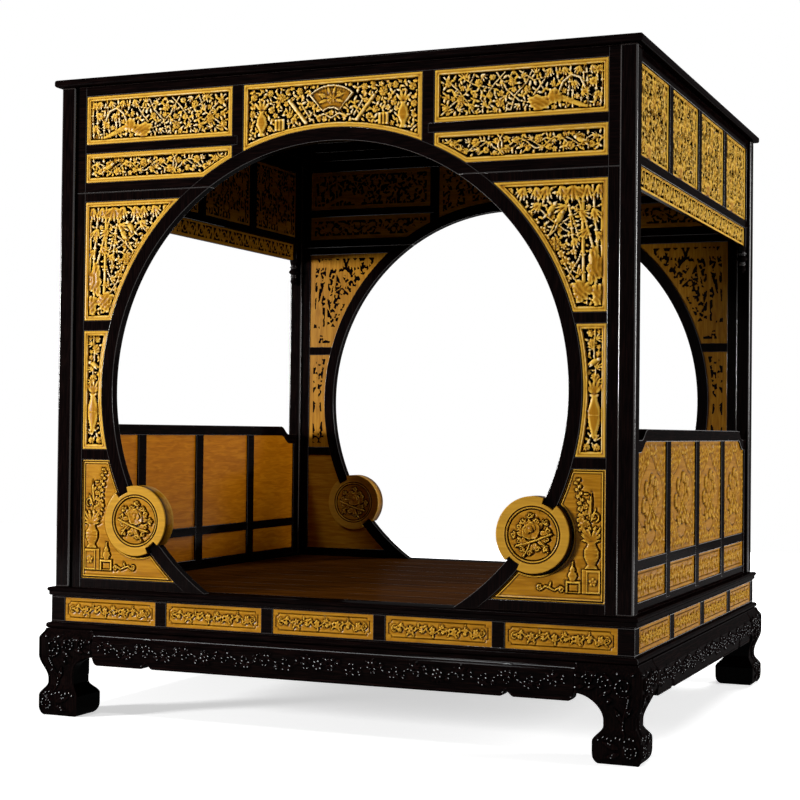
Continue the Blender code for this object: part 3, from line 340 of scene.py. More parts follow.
def foot_swell(z):
    """How far the foot is rounded out at a height: full to its crown, less at the floor, none above it."""
    below, over = np.clip((0.040 - z) / 0.044, 0.0, 1.0), np.clip((z - 0.072) / 0.048, 0.0, 1.0)
    return np.sqrt(1 - below**2.4) * (1 + np.cos(np.pi * over)) / 2


def leg_spread(z):
    """How far the leg stands out from the post at a height: a round foot, an ankle, a knee and a shoulder."""
    knee = eased(z, [(0.0, 0.016), (0.132, 0.016), (0.225, 0.0415), (0.284, 0.0415), (0.320, 0.024)])
    return np.maximum(0.016 + 0.024 * foot_swell(z), knee)


def leg_reach(z):
    """How far the leg runs along the bed: the foot swells, and over the ankle a quarter ellipse opens."""
    rise = np.clip((z - ANKLE) / (WING - ANKLE), 0.0, 1.0)
    return np.maximum(0.094 + 0.031 * foot_swell(z), 0.094 + 0.093 * (1 - np.sqrt(1 - rise**2)))


def carve_leg(wood):
    """A spiral boss and pearls on the foot, a leaf up the ankle, scrolls and leaves over knee and wing."""
    lay_oval(wood, (-0.002, 0.046), (0.027, 0.027), 0.0, 0.0, 0.004)
    lay_stem(wood, curl((-0.002, 0.046), 0.023, 2.2, 1.6, 26), 0.006, 0.0035, 0.004, 0.7)
    lay_leaf(wood, (0.034, 0.052), 0.35, 0.062, 0.022, 0.001, 0.005)
    lay_leaf(wood, (0.032, 0.038), -0.35, 0.055, 0.018, 0.001, 0.005)
    for k, u in enumerate(np.linspace(-0.012, 0.104, 9)):
        lay_oval(wood, (u, 0.084 + 0.005 * np.sin(2.1 * k)), (0.0058, 0.0058), 0.0, 0.0005, 0.0045)
    ankle = [(0.020, 0.092), (0.030, 0.118), (0.026, 0.150), (0.012, 0.185), (0.004, 0.215)]
    lay_stem(wood, ankle, 0.009, 0.0, 0.005)
    lay_leaf(wood, (0.028, 0.130), 1.1, 0.060, 0.018, 0.001, 0.005)
    lay_leaf(wood, (0.022, 0.150), 2.2, 0.045, 0.016, 0.001, 0.005)
    lay_stem(wood, curl((0.020, 0.252), 0.034, 4.2, 1.4, 24), 0.010, 0.0, 0.007, 0.6)
    lay_stem(wood, curl((0.088, 0.262), 0.026, 3.4, -1.4, 22), 0.008, 0.0, 0.006, 0.6)
    lay_stem(wood, curl((0.140, 0.268), 0.020, 0.2, 1.3, 20), 0.007, 0.0, 0.006, 0.6)
    for u, v, angle, length in ((0.055, 0.255, 0.9, 0.045), (0.060, 0.240, -0.5, 0.050),
                                (0.112, 0.250, -0.3, 0.045), (0.110, 0.275, 0.7, 0.036),
                                (0.150, 0.248, -0.2, 0.040), (0.162, 0.275, 0.5, 0.030),
                                (-0.004, 0.285, 1.9, 0.030), (0.030, 0.292, 0.4, 0.034),
                                (0.060, 0.215, -0.9, 0.030)):
        lay_leaf(wood, (u, v), angle, length, 0.016, 0.001, 0.006)
    lay_blossom(wood, (0.118, 0.292), 0.013, 5, 0.4, 0.001, 0.006)


ankle_rows = ANKLE + (WING - ANKLE) * np.sin(np.linspace(0.0, np.pi / 2, 40))
leg_rows = np.concatenate([np.linspace(0.0, ANKLE, 46), ankle_rows[1:], np.linspace(WING, BASE_TOP, 34)[1:]])
LEG_ARRIS = 0.008
z = leg_rows[:, None]
spread, reach = leg_spread(z), leg_reach(z)
inward = -spread + LEG_ARRIS + np.linspace(0.0, 1.0, 72) * (reach + spread - LEG_ARRIS)
leg_wood = uncut(inward, np.broadcast_to(z, inward.shape))
carve_leg(leg_wood)
leg_wood.lift *= np.clip((0.305 - z) / 0.015, 0.0, 1.0)
leg_wood.lift += 0.0025 * np.exp(-(((reach - inward - 0.007) / 0.0035) ** 2)) * (z > 0.120)
face = -spread + 0.005 - leg_wood.lift
turn = np.linspace(np.pi, 1.5 * np.pi, 7)[1:-1]
arris = (-spread + LEG_ARRIS + LEG_ARRIS * np.cos(turn), -spread + LEG_ARRIS + LEG_ARRIS * np.sin(turn))
hollowed = np.clip((z - ANKLE) / 0.014, 0.0, 1.0)
foot_back = [(0.0, -0.004), (-0.001, -0.003), (-0.002, -0.002), (-0.003, -0.001), (-0.004, 0.0)]
wing_back = [(None, 0.010), (0.094, 0.010), (0.094, 0.094), (0.010, 0.094), (0.010, None)]
inner = []
for foot_point, wing_point in zip(foot_back, wing_back):
    ends = [reach if value is None else value for value in wing_point]
    inner.append([(reach + f) * (1 - hollowed) + end * hollowed for f, end in zip(foot_point, ends)])
across = np.concatenate([face[:, ::-1], arris[0], inward] + [p for p, _ in inner], axis=1)
deep = np.concatenate([inward[:, ::-1], arris[1], face] + [q for _, q in inner], axis=1)
# Painted shade in the cuts of the carving, and painted glints on its crests.
leg_hollow = crested(leg_wood.lift, hollows(leg_wood.lift))
plain = np.zeros((len(leg_rows), 5))
leg_hollow = np.concatenate([leg_hollow[:, ::-1], plain, leg_hollow, plain], axis=1)
leg_faces = tube(*across.shape)
heights = np.broadcast_to(z, across.shape)
for place, x, y in (("front_left", -BED_X + across, -BED_Y + deep),
                    ("front_right", BED_X - deep, -BED_Y + across),
                    ("back_right", BED_X - across, BED_Y - deep),
                    ("back_left", -BED_X + deep, BED_Y - across)):
    shape = np.stack([x, y, heights], axis=-1)
    piece(f"leg_carved_{place}", [(shape, leg_faces)], rosewood_upright, f"leg_{place}",
          leg_hollow)

# Aprons. Four rosewood boards under the waist, bulging like the knees of the legs and tenoned between them.
# Their lower edges are cusped twice and beaded, and a flowering vine is carved along each face.
HALF_LENGTH = {"front": BED_X, "back": BED_X, "left": BED_Y, "right": BED_Y}
APRON_START, APRON_FOOT, VINE_HEIGHT = 0.1875, 0.195, 0.254


def apron_foot(u, half):
    """Height of the lower edge: level, notched to a cusp twice, and rounded up to the leg at both ends."""
    notch = np.clip(1 - np.abs(np.abs(u) - (half - 0.416)) / 0.024, 0.0, 1.0)
    end = np.clip(1 - (half - APRON_START - np.abs(u)) / 0.020, 0.0, 1.0)
    return APRON_FOOT + 0.020 * notch**1.6 + 0.028 * (1 - np.sqrt(1 - end**2))


def carve_apron(wood, half):
    """A wave of vine with a curl, leaves and a small flower at every turn, and three open flowers on it."""
    run = half - APRON_START - 0.03
    u = np.linspace(-run, run, 200)
    wave = np.pi / 0.08
    lay_stem(wood, np.stack([u, VINE_HEIGHT + 0.015 * np.sin(wave * np.abs(u))], axis=-1), 0.006, 0.0, 0.004)
    for k, turn in enumerate(np.arange(0.04, run, 0.08)):
        for way in (-1, 1):
            u, up = way * turn, 1 if k % 2 == 0 else -1
            inner = curl((u + way * 0.004, VINE_HEIGHT - 0.004 * up), 0.015, np.pi / 2 * up, -1.2 * way * up)
            lay_stem(wood, inner, 0.005, 0.0, 0.004, 0.6)
            for angle, length in ((0.5, 0.030), (1.3, 0.022), (-0.6, 0.030), (2.5, 0.026), (3.6, 0.024)):
                lean = angle * up if way > 0 else np.pi - angle * up
                lay_leaf(wood, (u, VINE_HEIGHT + 0.013 * up), lean, length, 0.011, 0.0005, 0.004)
            lay_blossom(wood, (u + way * 0.038, VINE_HEIGHT + 0.016 * up), 0.010, 5, turn * 30, 0.0005, 0.005)
    for u in (0.0, -0.5 * run, 0.5 * run):
        lay_blossom(wood, (u, VINE_HEIGHT + 0.002), 0.022, 6, 0.3, 0.001, 0.006)


def set_in(side, parts, out=0.0, up=0.0):
    """Parts made along, up and out, moved by out and up and turned to their place on a side of the bed."""
    return [((points + (0.0, up, out)) @ SIDES[side], faces) for points, faces in parts]


for side, half in HALF_LENGTH.items():
    end = half - APRON_START
    u = np.linspace(-end, end, int(2 * end / 0.0042))
    foot = apron_foot(u, half)
    up = np.linspace(0.0, 1.0, 38)[:, None]
    v = foot + up * (BASE_TOP - foot)
    u = np.broadcast_to(u, v.shape)
    board = uncut(u, v)
    carve_apron(board, half)
    board.lift *= np.clip((0.310 - v) / 0.012, 0.0, 1.0)
    board.lift += 0.0028 * np.exp(-(((v - foot - 0.007) / 0.0035) ** 2))
    out = eased(v, [(APRON_FOOT, 0.0365), (0.238, 0.0415), (0.280, 0.0415), (0.320, 0.024)])
    w = POST_OUT[side] + out - 0.004 + board.lift
    front = np.stack([u, v, w], axis=-1)
    back = np.stack([u[[-1, 0]], v[[-1, 0]], np.full_like(u[:2], POST_OUT[side] - 0.010)], axis=-1)
    shell = np.concatenate([front, back]).swapaxes(0, 1)
    # Painted shade in the cuts of the carving, and painted glints on its crests.
    dip = crested(board.lift, hollows(board.lift))
    if side in ("front", "back"):
        # A painted highlight runs as a pale line along the shoulder of a long apron.
        dip -= 1.7 * np.exp(-(((v - 0.3015) / 0.0026) ** 2))
    dip = np.concatenate([dip, np.zeros_like(u[:2])]).T
    parts = set_in(side, [(shell, tube(*shell.shape[:2], True))])
    piece(f"apron_carved_{side}", parts, ROSEWOOD_OF[side], f"apron_{side}", dip)

# Waists. Between the aprons and the bed rails a ladder of rosewood is let in on a rounded ledge, and golden
# nanmu boards carved with a flower scroll are set between its posts, five on the long sides and four on the
# short ones.
SEAT, LEDGE_TOP = 0.472, 0.342


def slab(low, high, near, far):
    """A squared bar between two lines of (u, v) points, low to the right of high, from depth near to far."""
    low, high = np.asarray(low, float), np.asarray(high, float)
    corners = (high, far), (low, far), (low, near), (high, near)
    points = np.stack([np.insert(edge, 2, depth, axis=-1) for edge, depth in corners], axis=1)
    return points, tube(len(low), 4)


def bar(u0, u1, v0, v1, near, far):
    """A straight squared bar."""
    return slab([(u0, v0), (u1, v0)], [(u0, v1), (u1, v1)], near, far)


def moulding(profile, half):
    """A moulded bar, mitred at both ends: (out, up) points of its section, clockwise, carried along it.

    At each end a point lies as much further along as it lies further out, so that two bars meet in a corner.
    """
    out, up = np.asarray(profile, float).T
    ends = [np.stack([way * (half + out), up, out], axis=-1) for way in (-1, 1)]
    return np.stack(ends), tube(2, len(out))


def half_round(out, middle, radius, start=90.0, end=-90.0, steps=9):
    """Points of an arc in a section, clockwise from one angle to another, in degrees."""
    angle = np.radians(np.linspace(start, end, steps))
    return list(zip(out + radius * np.cos(angle), middle + radius * np.sin(angle)))


def board_of(u, v, lift, back):
    """A carved board: its face lifted from the ground, walls round its rim and one flat back."""
    rows, columns = u.shape
    index = np.arange(rows * columns).reshape(rows, columns)
    rim = np.concatenate([index[0, :-1], index[:-1, -1], index[-1, :0:-1], index[:0:-1, 0]])
    face = np.stack([u, v, lift], axis=-1).reshape(-1, 3)
    rear = face[rim] * (1, 1, 0) + (0, 0, back)
    under = np.arange(len(rim)) + len(face)
    walls = np.stack([rim, under, np.roll(under, -1), np.roll(rim, -1)], axis=-1)
    return np.concatenate([face, rear]), [quads(rows, columns), walls, under[None, ::-1]]


# The colour of the painted glints on the crests of carved nanmu.
PAINTED_GLINT_ON_NANMU = "#ffecc0"


def nanmu(name, grain, colours, wax=0.12):
    """Nanmu under oil and wax: honey gold, silky, its soft growth bands about 14 mm wide along the grain.

    The "hollow" attribute of a carving gives dark brown painted shade in the cuts, a pale painted highlight
    on the ridges, and, below -1, painted glints on the highest crests of openwork.
    """
    figure = {"Scale": 70.0, "Detail": 3.0, "Distortion": 1.2}
    stops = list(zip((0.34, 0.50, 0.66), colours))
    material, along, _, colour, hollow = grained(name, grain, figure, stops)
    tree = material.node_tree
    # Painted shade in the cuts, a painted highlight on the ridges and painted glints on the crests.
    painted_shade_share = ranged(tree, hollow, 0.0, 0.55)
    painted_highlight_share = ranged(tree, hollow, -0.1, -0.75, 0.0, 0.78)
    painted_glint_share = ranged(tree, hollow, -1.2, -2.0, 0.0, 0.75)
    for share, other in ((painted_shade_share, colours[3]), (painted_highlight_share, colours[4]), (painted_glint_share, PAINTED_GLINT_ON_NANMU)):
        colour = blend(tree, share, colour, linear(other))
    fibres = add(tree, "TexNoise", {"Vector": along, "Scale": 900.0, "Detail": 2.0}).outputs["Fac"]
    return finished(material, colour, fibres, (0.30, 0.46), fibres, 0.08, wax, 0.20)


# Three tones of the grain, then the painted shade of the cuts and the painted highlight of the ridges.
GOLD = ("#92600e", "#a26d14", "#b07b1d", "#120700", "#eabc4a")
nanmu_along_x = nanmu("nanmu, grain along the gates", (0.10, 1.0, 1.0), GOLD)
nanmu_along_y = nanmu("nanmu, grain along the sides", (1.0, 0.10, 1.0), GOLD)
nanmu_upright = nanmu("nanmu, upright grain", (1.0, 1.0, 0.10), GOLD)
NANMU_OF = {"front": nanmu_along_x, "back": nanmu_along_x, "left": nanmu_along_y, "right": nanmu_along_y}


def sink_ground(wood, depth, reach):
    """Cuts the ground away round the motifs: deepest along their outline, and level again within reach."""
    near = np.clip(1 + wood.edge / reach, 0.0, 1.0)
    wood.lift = np.where(wood.edge < 0, -depth * near, wood.lift)


def carve_vine_board(width, tall, step):
    """A flat border, a line with scooped corners, and a leafy vine in waves with flowers and end curls."""
    u, v = np.meshgrid(np.linspace(-width / 2, width / 2, int(width / step)),
                       np.linspace(-tall / 2, tall / 2, int(tall / step)))
    wood = uncut(u, v)
    half, field = width / 2 - 0.013, tall / 2 - 0.0135
    inside = np.minimum(np.minimum(half - np.abs(u), field - np.abs(v)),
                        np.hypot(np.abs(u) - half, np.abs(v) - field) - 0.011)
    run, sway = half - 0.022, 0.36 * field
    share = np.linspace(-1.0, 1.0, 110)
    lay_stem(wood, np.stack([share * run, sway * np.sin(4 * np.pi * share)], axis=-1), 0.0045, 0.0005, 0.003)
    for k, place in enumerate(np.linspace(-0.96, 0.96, 41)):
        root = (place * run, sway * np.sin(4 * np.pi * place))
        lean = (1.0 if k % 2 else -1.0) + 0.5 * np.sin(23.0 * place)
        lay_leaf(wood, root, lean if k % 4 < 2 else np.pi - lean, 0.56 * field, 0.24 * field, 0.0005, 0.0035)
    for k, place in enumerate(np.linspace(-0.875, 0.875, 8)):
        at = (place * run, -0.25 * sway * np.sin(4 * np.pi * place))
        lay_blossom(wood, at, (0.40 if k % 2 else 0.30) * field, 5, 7 * place, 0.001, 0.004)
    for way in (-1, 1):
        lay_stem(wood, curl((way * run, 0.0), 0.42 * field, np.pi / 2, -1.3 * way), 0.0045, 0.0005, 0.003)
    sink_ground(wood, 0.0022, 0.007)
    wood.lift -= 0.0030 * np.exp(-((inside / 0.0019) ** 2))
    return wood


for side, half in HALF_LENGTH.items():
    count, gap = (5, 0.045) if half == BED_X else (4, 0.060)
    run = 2 * (half - 0.050)
    width = (run - (count - 1) * gap) / count
    starts = -run / 2 + np.arange(count) * (width + gap)
    ledge = [(-0.012, 0.3204), (-0.012, LEDGE_TOP), *half_round(0.0122, 0.3312, 0.0108)]
    ladder = [moulding(ledge, half)]
    for v0, v1 in ((LEDGE_TOP, 0.3495), (0.4345, 0.4418)):
        ladder.append(bar(-half - 0.0075, half + 0.0075, v0, v1, -0.012, 0.008))
    uprights = [[-half - 0.0077], np.stack([starts, starts + width], axis=-1).ravel(), [half + 0.0077]]
    for u0, u1 in np.concatenate(uprights).reshape(-1, 2):
        ladder.append(bar(u0, u1, 0.3485, 0.4355, -0.0118, 0.0078))
    piece(f"waist_ladder_{side}", set_in(side, ladder, POST_OUT[side]), ROSEWOOD_OF[side],
          f"waist_{side}", bevel=0.0012)
    board = carve_vine_board(width, 0.0858, 0.0033)
    # Painted shade in the cuts of the vine, and a painted highlight on its ridges.
    dip = hollows(board.lift, 2, 0.004)
    parts = []
    for start in starts:
        parts.append(board_of(board.u + start + width / 2, board.v + 0.392, board.lift + 0.0048, -0.008))
    dips = np.concatenate([np.append(dip, np.zeros(len(points) - dip.size)) for points, _ in parts])
    piece(f"waist_boards_{side}", set_in(side, parts, POST_OUT[side]), NANMU_OF[side], hollow=dips)

# Bed rails. Four rosewood rails mitred round the deck, each with a bullnose along its outer edge over a small
# step, and a rebate inside that the deck boards lie in.
RAIL_FOOT, REBATE, REBATE_EDGE, RAIL_IN = 0.414, 0.4538, -0.0862, -0.100
step_under = [(0.0149, 0.456), (0.0149, 0.4445), (0.012, 0.442), (-0.0123, 0.442), (-0.0123, RAIL_FOOT)]
rebate = [(RAIL_IN, RAIL_FOOT), (RAIL_IN, REBATE), (REBATE_EDGE, REBATE), (REBATE_EDGE, SEAT)]
for side, half in HALF_LENGTH.items():
    moulded = moulding([*half_round(0.0124, 0.464, 0.008), *step_under, *rebate], half)
    piece(f"bed_rail_moulded_{side}", set_in(side, [moulded], POST_OUT[side]), ROSEWOOD_OF[side],
          f"bed_rail_{side}")

# Deck. Tongued boards of oiled and polished hardwood, laid along the bed in the rails' rebate with a fine
# seam between neighbours. They rest on a grid of bearers that is tenoned into the rails.
SIDES["top"] = np.eye(3)
HAZEL = ("#2e1703", "#412205", "#553009", "#1c0d03", "#6b3d16")
deck_wood = nanmu("polished deck boards, oiled hardwood", (0.05, 1.0, 1.0), HAZEL, 0.01)
DECK_X, DECK_Y, DECK_FOOT, DECK_BOARDS = 1.0135, 0.9135, 0.4545, 9
SEAM = 0.0002


def boards_between(half_x, half_y, count, foot, top):
    """Boards laid side by side along X, with a fine seam between neighbours."""
    seams = np.linspace(-half_y, half_y, count + 1)
    return [bar(-half_x, half_x, v0 + SEAM, v1 - SEAM, foot, top) for v0, v1 in zip(seams, seams[1:])]


boards = boards_between(DECK_X, DECK_Y, DECK_BOARDS, DECK_FOOT, SEAT)
piece("deck_boards", set_in("top", boards), deck_wood, "deck", bevel=0.0008)
bearers = bpy.data.objects["deck_bearers"].data
bearers.materials.clear()
bearers.materials.append(rosewood_along_x)

# Posts. Four square posts of rosewood, each planed from one length, its arrises rounded and glossy, with a
# painted highlight along them. They are tenoned into the bed rails at the foot and into the canopy at the
# top.
POST_TOP, POST_WIDE = 2.3305, 0.06
for place, u0, w0 in (("front_left", -BED_X, -BED_Y), ("front_right", BED_X - POST_WIDE, -BED_Y),
                      ("back_right", BED_X - POST_WIDE, BED_Y - POST_WIDE),
                      ("back_left", -BED_X, BED_Y - POST_WIDE)):
    post = bar(u0, u0 + POST_WIDE, w0, w0 + POST_WIDE, SEAT, POST_TOP)
    piece(f"post_rounded_{place}", set_in("top", [post]), rosewood_upright, f"post_{place}",
          bevel=0.006)

# Gates. Front and back alike: a rosewood frame of stiles, rails and muntins round a moon-shaped ring, tenoned
# between the posts. The frame's edges are eased, and the ring stands a little proud of the rails.
RING_HEIGHT, RING_OUTER, RING_INNER = 0.731, 0.919, 0.872
RING_MIDDLE = (RING_OUTER + RING_INNER) / 2
RING_NEAR, RING_FAR = 0.952, 0.988
STILE_EDGE, STILE_OUT = 1.0, 1.0397
JOINT_INNER, JOINT_OUTER = 56.97, 52.69
ROUNDEL_AT, ROUNDEL_RADIUS = (0.758, 0.254), 0.128
GATE_NEAR, GATE_FAR, GATE_MIDDLE = 0.9535, 0.9865, 0.970
STILE_NEAR, STILE_FAR, STILE_IN = 0.953, 0.987, 1.02
SILL, CORNER_TOP, NARROW_FOOT, NARROW_TOP = 0.035, 0.473, 0.512, 0.950
SPANDREL_FOOT, SPANDREL_TOP, SIDE_TOP, HEAD_FOOT = 0.988, 1.428, 1.4618, 1.4622
LOWER_FOOT, LOWER_TOP, UPPER_FOOT, UPPER_TOP = 1.500, 1.608, 1.642, 1.822
GATE_TOP, MUNTIN_NEAR, MUNTIN_FAR = 1.8583, 0.344, 0.388
EASED = 0.0016


def on_ring(v, radius):
    """How far along the ring of a radius lies at a height over the seat."""
    return np.sqrt(radius**2 - (v - RING_HEIGHT) ** 2)


def ring_arc(inner, outer):
    """A length of the ring, clockwise: the angles, in degrees, between which its inner and outer rims run."""
    steps = max(int((inner[0] - inner[1]) / 1.5), 2)
    rims = []
    for radius, ends in ((RING_INNER, inner), (RING_OUTER, outer)):
        angle = np.radians(np.linspace(*ends, steps))
        rims.append(np.stack([radius * np.cos(angle), RING_HEIGHT + radius * np.sin(angle)], axis=-1))
    return slab(*rims, RING_NEAR, RING_FAR)


def rail(v0, v1):
    """A rail from inside the ring's band to inside the stile, its end cut to the ring."""
    low, high = [[(on_ring(v, RING_MIDDLE), v), (STILE_IN, v)] for v in (v0, v1)]
    return slab(low, high, GATE_NEAR, GATE_FAR)


def flipped(part):
    """The same part for the other half of the gate, its faces turned round with it."""
    points, faces = part
    return points * (-1, 1, 1), [f[:, ::-1] for f in faces]


half_side = [bar(STILE_EDGE, STILE_OUT, 0.0, SIDE_TOP, STILE_NEAR, STILE_FAR), rail(0.0, SILL),
             rail(CORNER_TOP, NARROW_FOOT), rail(NARROW_TOP, SPANDREL_FOOT), rail(SPANDREL_TOP, SIDE_TOP),
             ring_arc((JOINT_INNER - 0.01, -25.2), (JOINT_OUTER - 0.01, -25.2)),
             ring_arc((-39.2, -JOINT_INNER), (-39.2, -JOINT_OUTER))]
muntin = [[(MUNTIN_NEAR, v0), (MUNTIN_FAR, v1)] for v0, v1 in ((1.5725, 1.552), (1.84, 1.84))]
half_head = [bar(STILE_EDGE, STILE_OUT, HEAD_FOOT, GATE_TOP, STILE_NEAR, STILE_FAR),
             rail(HEAD_FOOT, LOWER_FOOT), bar(0.366, STILE_IN, LOWER_TOP, UPPER_FOOT, GATE_NEAR, GATE_FAR),
             slab(*muntin, 0.9537, 0.9863)]
head = half_head + [flipped(part) for part in half_head]
head += [bar(-STILE_IN, STILE_IN, UPPER_TOP, GATE_TOP, GATE_NEAR, GATE_FAR),
         ring_arc((180 - JOINT_INNER, JOINT_INNER), (180 - JOINT_OUTER, JOINT_OUTER))]
HANDS = {"front": ("right", "left"), "back": ("left", "right")}
for gate, hands in HANDS.items():
    piece(f"gate_{gate}_head_eased", set_in(gate, head, up=SEAT), rosewood_along_x,
          f"gate_{gate}_head", bevel=EASED)
    for hand, parts in zip(hands, (half_side, [flipped(part) for part in half_side])):
        piece(f"gate_{gate}_frame_eased_{hand}", set_in(gate, parts, up=SEAT), rosewood_upright,
              f"gate_{gate}_frame_{hand}", bevel=EASED)

# Gate panels. Boards of golden nanmu with a moulded border, sawn out to openwork and carved on the outer
# face, each held by its tongue in the frame, with a dark sheet behind its openwork that stands in for shade.
# The lower corners are carved on a solid ground.
BORDER, CORNER_BORDER, CORNER_GROUND = 0.019, 0.016, 0.0085


def lay_petal(wood, root, angle, length, width, base, rise, ruffle=3):
    """A broad petal: a fan with a waved round end, rising to its tip and lower at its sides."""
    cos, sin = np.cos(angle), np.sin(angle)

    def shape(du, dv):
        along, across = du * cos + dv * sin, dv * cos - du * sin
        side = np.arctan2(across, np.maximum(along, 1e-6)) / (width / length)
        r = np.hypot(along, across)
        wave = np.cos(ruffle * np.pi * side)
        rim = length * (1 - 0.16 * side**2) * (1 + 0.05 * wave)
        edge = np.minimum(rim - r, (1.15 - np.abs(side)) * width / 2)
        edge = np.where(along < 0, -r, edge)
        share = np.clip(r / length, 0.0, 1.0)
        lift = base + rise * (0.25 + 0.75 * share**1.5) * (1 - 0.35 * np.clip(np.abs(side), 0.0, 1.0) ** 2)
        return edge, (lift + 0.10 * rise * wave * share) * np.clip(edge / 0.0022, 0.0, 1.0) ** 0.35

    lay(wood, root, length * 1.1, shape)


def lay_peony(wood, centre, radius, base=0.003, rise=0.009, turn=0.0):
    """A full peony: three rings of petals, each smaller and higher than the one outside it, about a boss."""
    for ring, (count, size) in enumerate(((7, 1.0), (6, 0.70), (4, 0.42))):
        for angle in turn + 2 * np.pi * (np.arange(count) + 0.5 * ring) / count:
            length, low = radius * size, base + 0.22 * ring * rise
            lay_petal(wood, centre, angle, length, length * 3.25 / count, low, 0.52 * rise)
    lay_oval(wood, centre, (0.15 * radius, 0.15 * radius), 0.0, base + 0.66 * rise, 0.34 * rise)


def lay_cluster(wood, at, angle, count=4, length=0.018, base=0.003, rise=0.006):
    """A ruffled leaf: petals fanned about an angle from one root, the middle ones longest."""
    for k in range(count):
        off = k - (count - 1) / 2
        size = length * (1 - 0.10 * abs(off))
        lay_petal(wood, at, angle + 0.75 * off, size, 0.8 * size, base + 0.0012 * (k % 2), rise, 2)


def lay_block(wood, low, high, base, rise, soft=0.003):
    """A flat block with softened edges, for stands, books and boxes."""
    middle = ((low[0] + high[0]) / 2, (low[1] + high[1]) / 2)
    half = ((high[0] - low[0]) / 2, (high[1] - low[1]) / 2)

    def shape(du, dv):
        edge = np.minimum(half[0] - np.abs(du), half[1] - np.abs(dv))
        return edge, base + rise * dome(edge / soft)

    lay(wood, middle, max(half), shape)


def lay_vessel(wood, foot, heights, widths, base=0.003, rise=0.008):
    """A turned vessel seen from the side: half widths at heights over its foot, and round across."""
    heights, widths = np.asarray(heights), np.asarray(widths)

    def shape(du, dv):
        half = np.interp(dv, heights, widths)
        edge = np.minimum(half - np.abs(du), np.minimum(dv - heights[0], heights[-1] - dv))
        return edge, base + rise * (0.35 + 0.65 * dome(edge / np.maximum(half, 1e-4)))

    lay(wood, foot, heights[-1] + widths.max(), shape)


def lay_rock(wood, centre, size, lean=0.0, base=0.002, rise=0.008, phase=0.0):
    """A garden rock: an oval rim with three waves, and slanting strata cut as shallow steps across it."""

    def shape(du, dv):
        angle, r = np.arctan2(dv / size[1], du / size[0]), np.hypot(du / size[0], dv / size[1])
        rim = 1 + 0.13 * np.sin(3 * angle + phase) + 0.09 * np.sin(7 * angle + 2 * phase)
        edge = (rim + 0.06 * np.sin(11 * angle - phase) - r) * min(size)
        across = du * np.cos(lean) + dv * np.sin(lean) + 0.006 * np.sin(dv / 0.013 + phase)
        strata = np.abs(((across / 0.017 + phase) % 1.0) - 0.35) / 0.65
        crown = np.clip(edge / (0.5 * min(size)), 0.0, 1.0)
        return edge, base + rise * (0.55 + 0.35 * crown + 0.15 * strata)

    lay(wood, centre, max(size) * 1.3, shape)


def lay_bamboo(wood, foot, top, width, sway=0.0, joints=6, base=0.005):
    """A bamboo stalk: a stem bowed by sway from foot to top, with a ridge across it at every joint."""
    t = np.linspace(0.0, 1.0, 12)
    path = np.stack([foot[0] + (top[0] - foot[0]) * t + sway * np.sin(np.pi * t),
                     foot[1] + (top[1] - foot[1]) * t], axis=-1)
    lay_stem(wood, path, width, base, 0.005, 0.8)
    for share in np.arange(1, joints) / joints:
        at = np.array([np.interp(share, t, path[:, 0]), np.interp(share, t, path[:, 1])])
        lay_stem(wood, [at - (0.62 * width, 0.0), at + (0.62 * width, 0.0)], 0.0042, base + 0.0035, 0.003)


def lay_spray(wood, root, angle, count=5, length=0.070, spread=0.30, base=0.006):
    """A spray of narrow leaves fanned about an angle, the outer ones shorter."""
    for k in range(count):
        off = k - (count - 1) / 2
        size = length * (1 - 0.12 * abs(off))
        low = base + 0.0014 * (k % 2)
        lay_leaf(wood, root, angle + spread * off, size, 0.14 * size + 0.001, low, 0.004, 0.40, 0.001)


def lay_bird(wood, at, turn, size, way=1):
    """A perched bird: oval body and head, and leaf shapes for the beak, tail and folded wing."""
    ahead = np.array([np.cos(turn), np.sin(turn)]) * size
    head, tail = np.array(at) + 0.5 * ahead, np.array(at) - 0.3 * ahead
    lay_oval(wood, at, (size * 0.5, size * 0.25), turn, 0.007, 0.007)
    lay_oval(wood, head, (size * 0.2, size * 0.18), turn, 0.009, 0.006)
    lay_leaf(wood, head, turn + 0.1, size * 0.38, size * 0.12, 0.009, 0.003)
    lay_leaf(wood, tail, turn + np.pi - 0.15 * way, size * 0.8, size * 0.2, 0.007, 0.005)
    lay_leaf(wood, at, turn + np.pi + 0.35 * way, size * 0.62, size * 0.28, 0.010, 0.005)


def fill_with_leaves(wood, field, gap, chance, size=(0.012, 0.024), flowers=0.12, base=0.0015, rise=0.005):
    """Grows leaves, now and then a flower, from the nearest wood into the widest hollow left in the field.

    It ends when no hollow is wider than gap to either side of its middle.
    """
    spots = np.flatnonzero(field.ravel())
    u, v, edge = wood.u.ravel(), wood.v.ravel(), wood.edge.ravel()
    for _ in range(1500):
        i = spots[np.argmin(edge[spots] + chance.uniform(0, 0.003, len(spots)))]
        if edge[i] > -gap:
            break
        near = np.flatnonzero((edge > 0.0005) & (np.abs(u - u[i]) < 0.15) & (np.abs(v - v[i]) < 0.15))
        j = near[np.argmin((u[near] - u[i]) ** 2 + (v[near] - v[i]) ** 2)]
        away = np.hypot(v[i] - v[j], u[i] - u[j])
        angle = np.arctan2(v[i] - v[j], u[i] - u[j]) + chance.uniform(-0.6, 0.6)
        root = (u[j] - 0.003 * np.cos(angle), v[j] - 0.003 * np.sin(angle))
        low = base + chance.uniform(0.0, 0.004)
        if chance.uniform() < flowers and away > 0.009:
            lay_stem(wood, [root, (u[i], v[i])], 0.004, base)
            lay_blossom(wood, (u[i], v[i]), min(0.011, away), 5, chance.uniform(0, 6), low, rise)
        else:
            length = np.clip(away * chance.uniform(1.5, 2.3) + 0.005, *size)
            lay_leaf(wood, root, angle, length, length * chance.uniform(0.28, 0.42), low, rise)


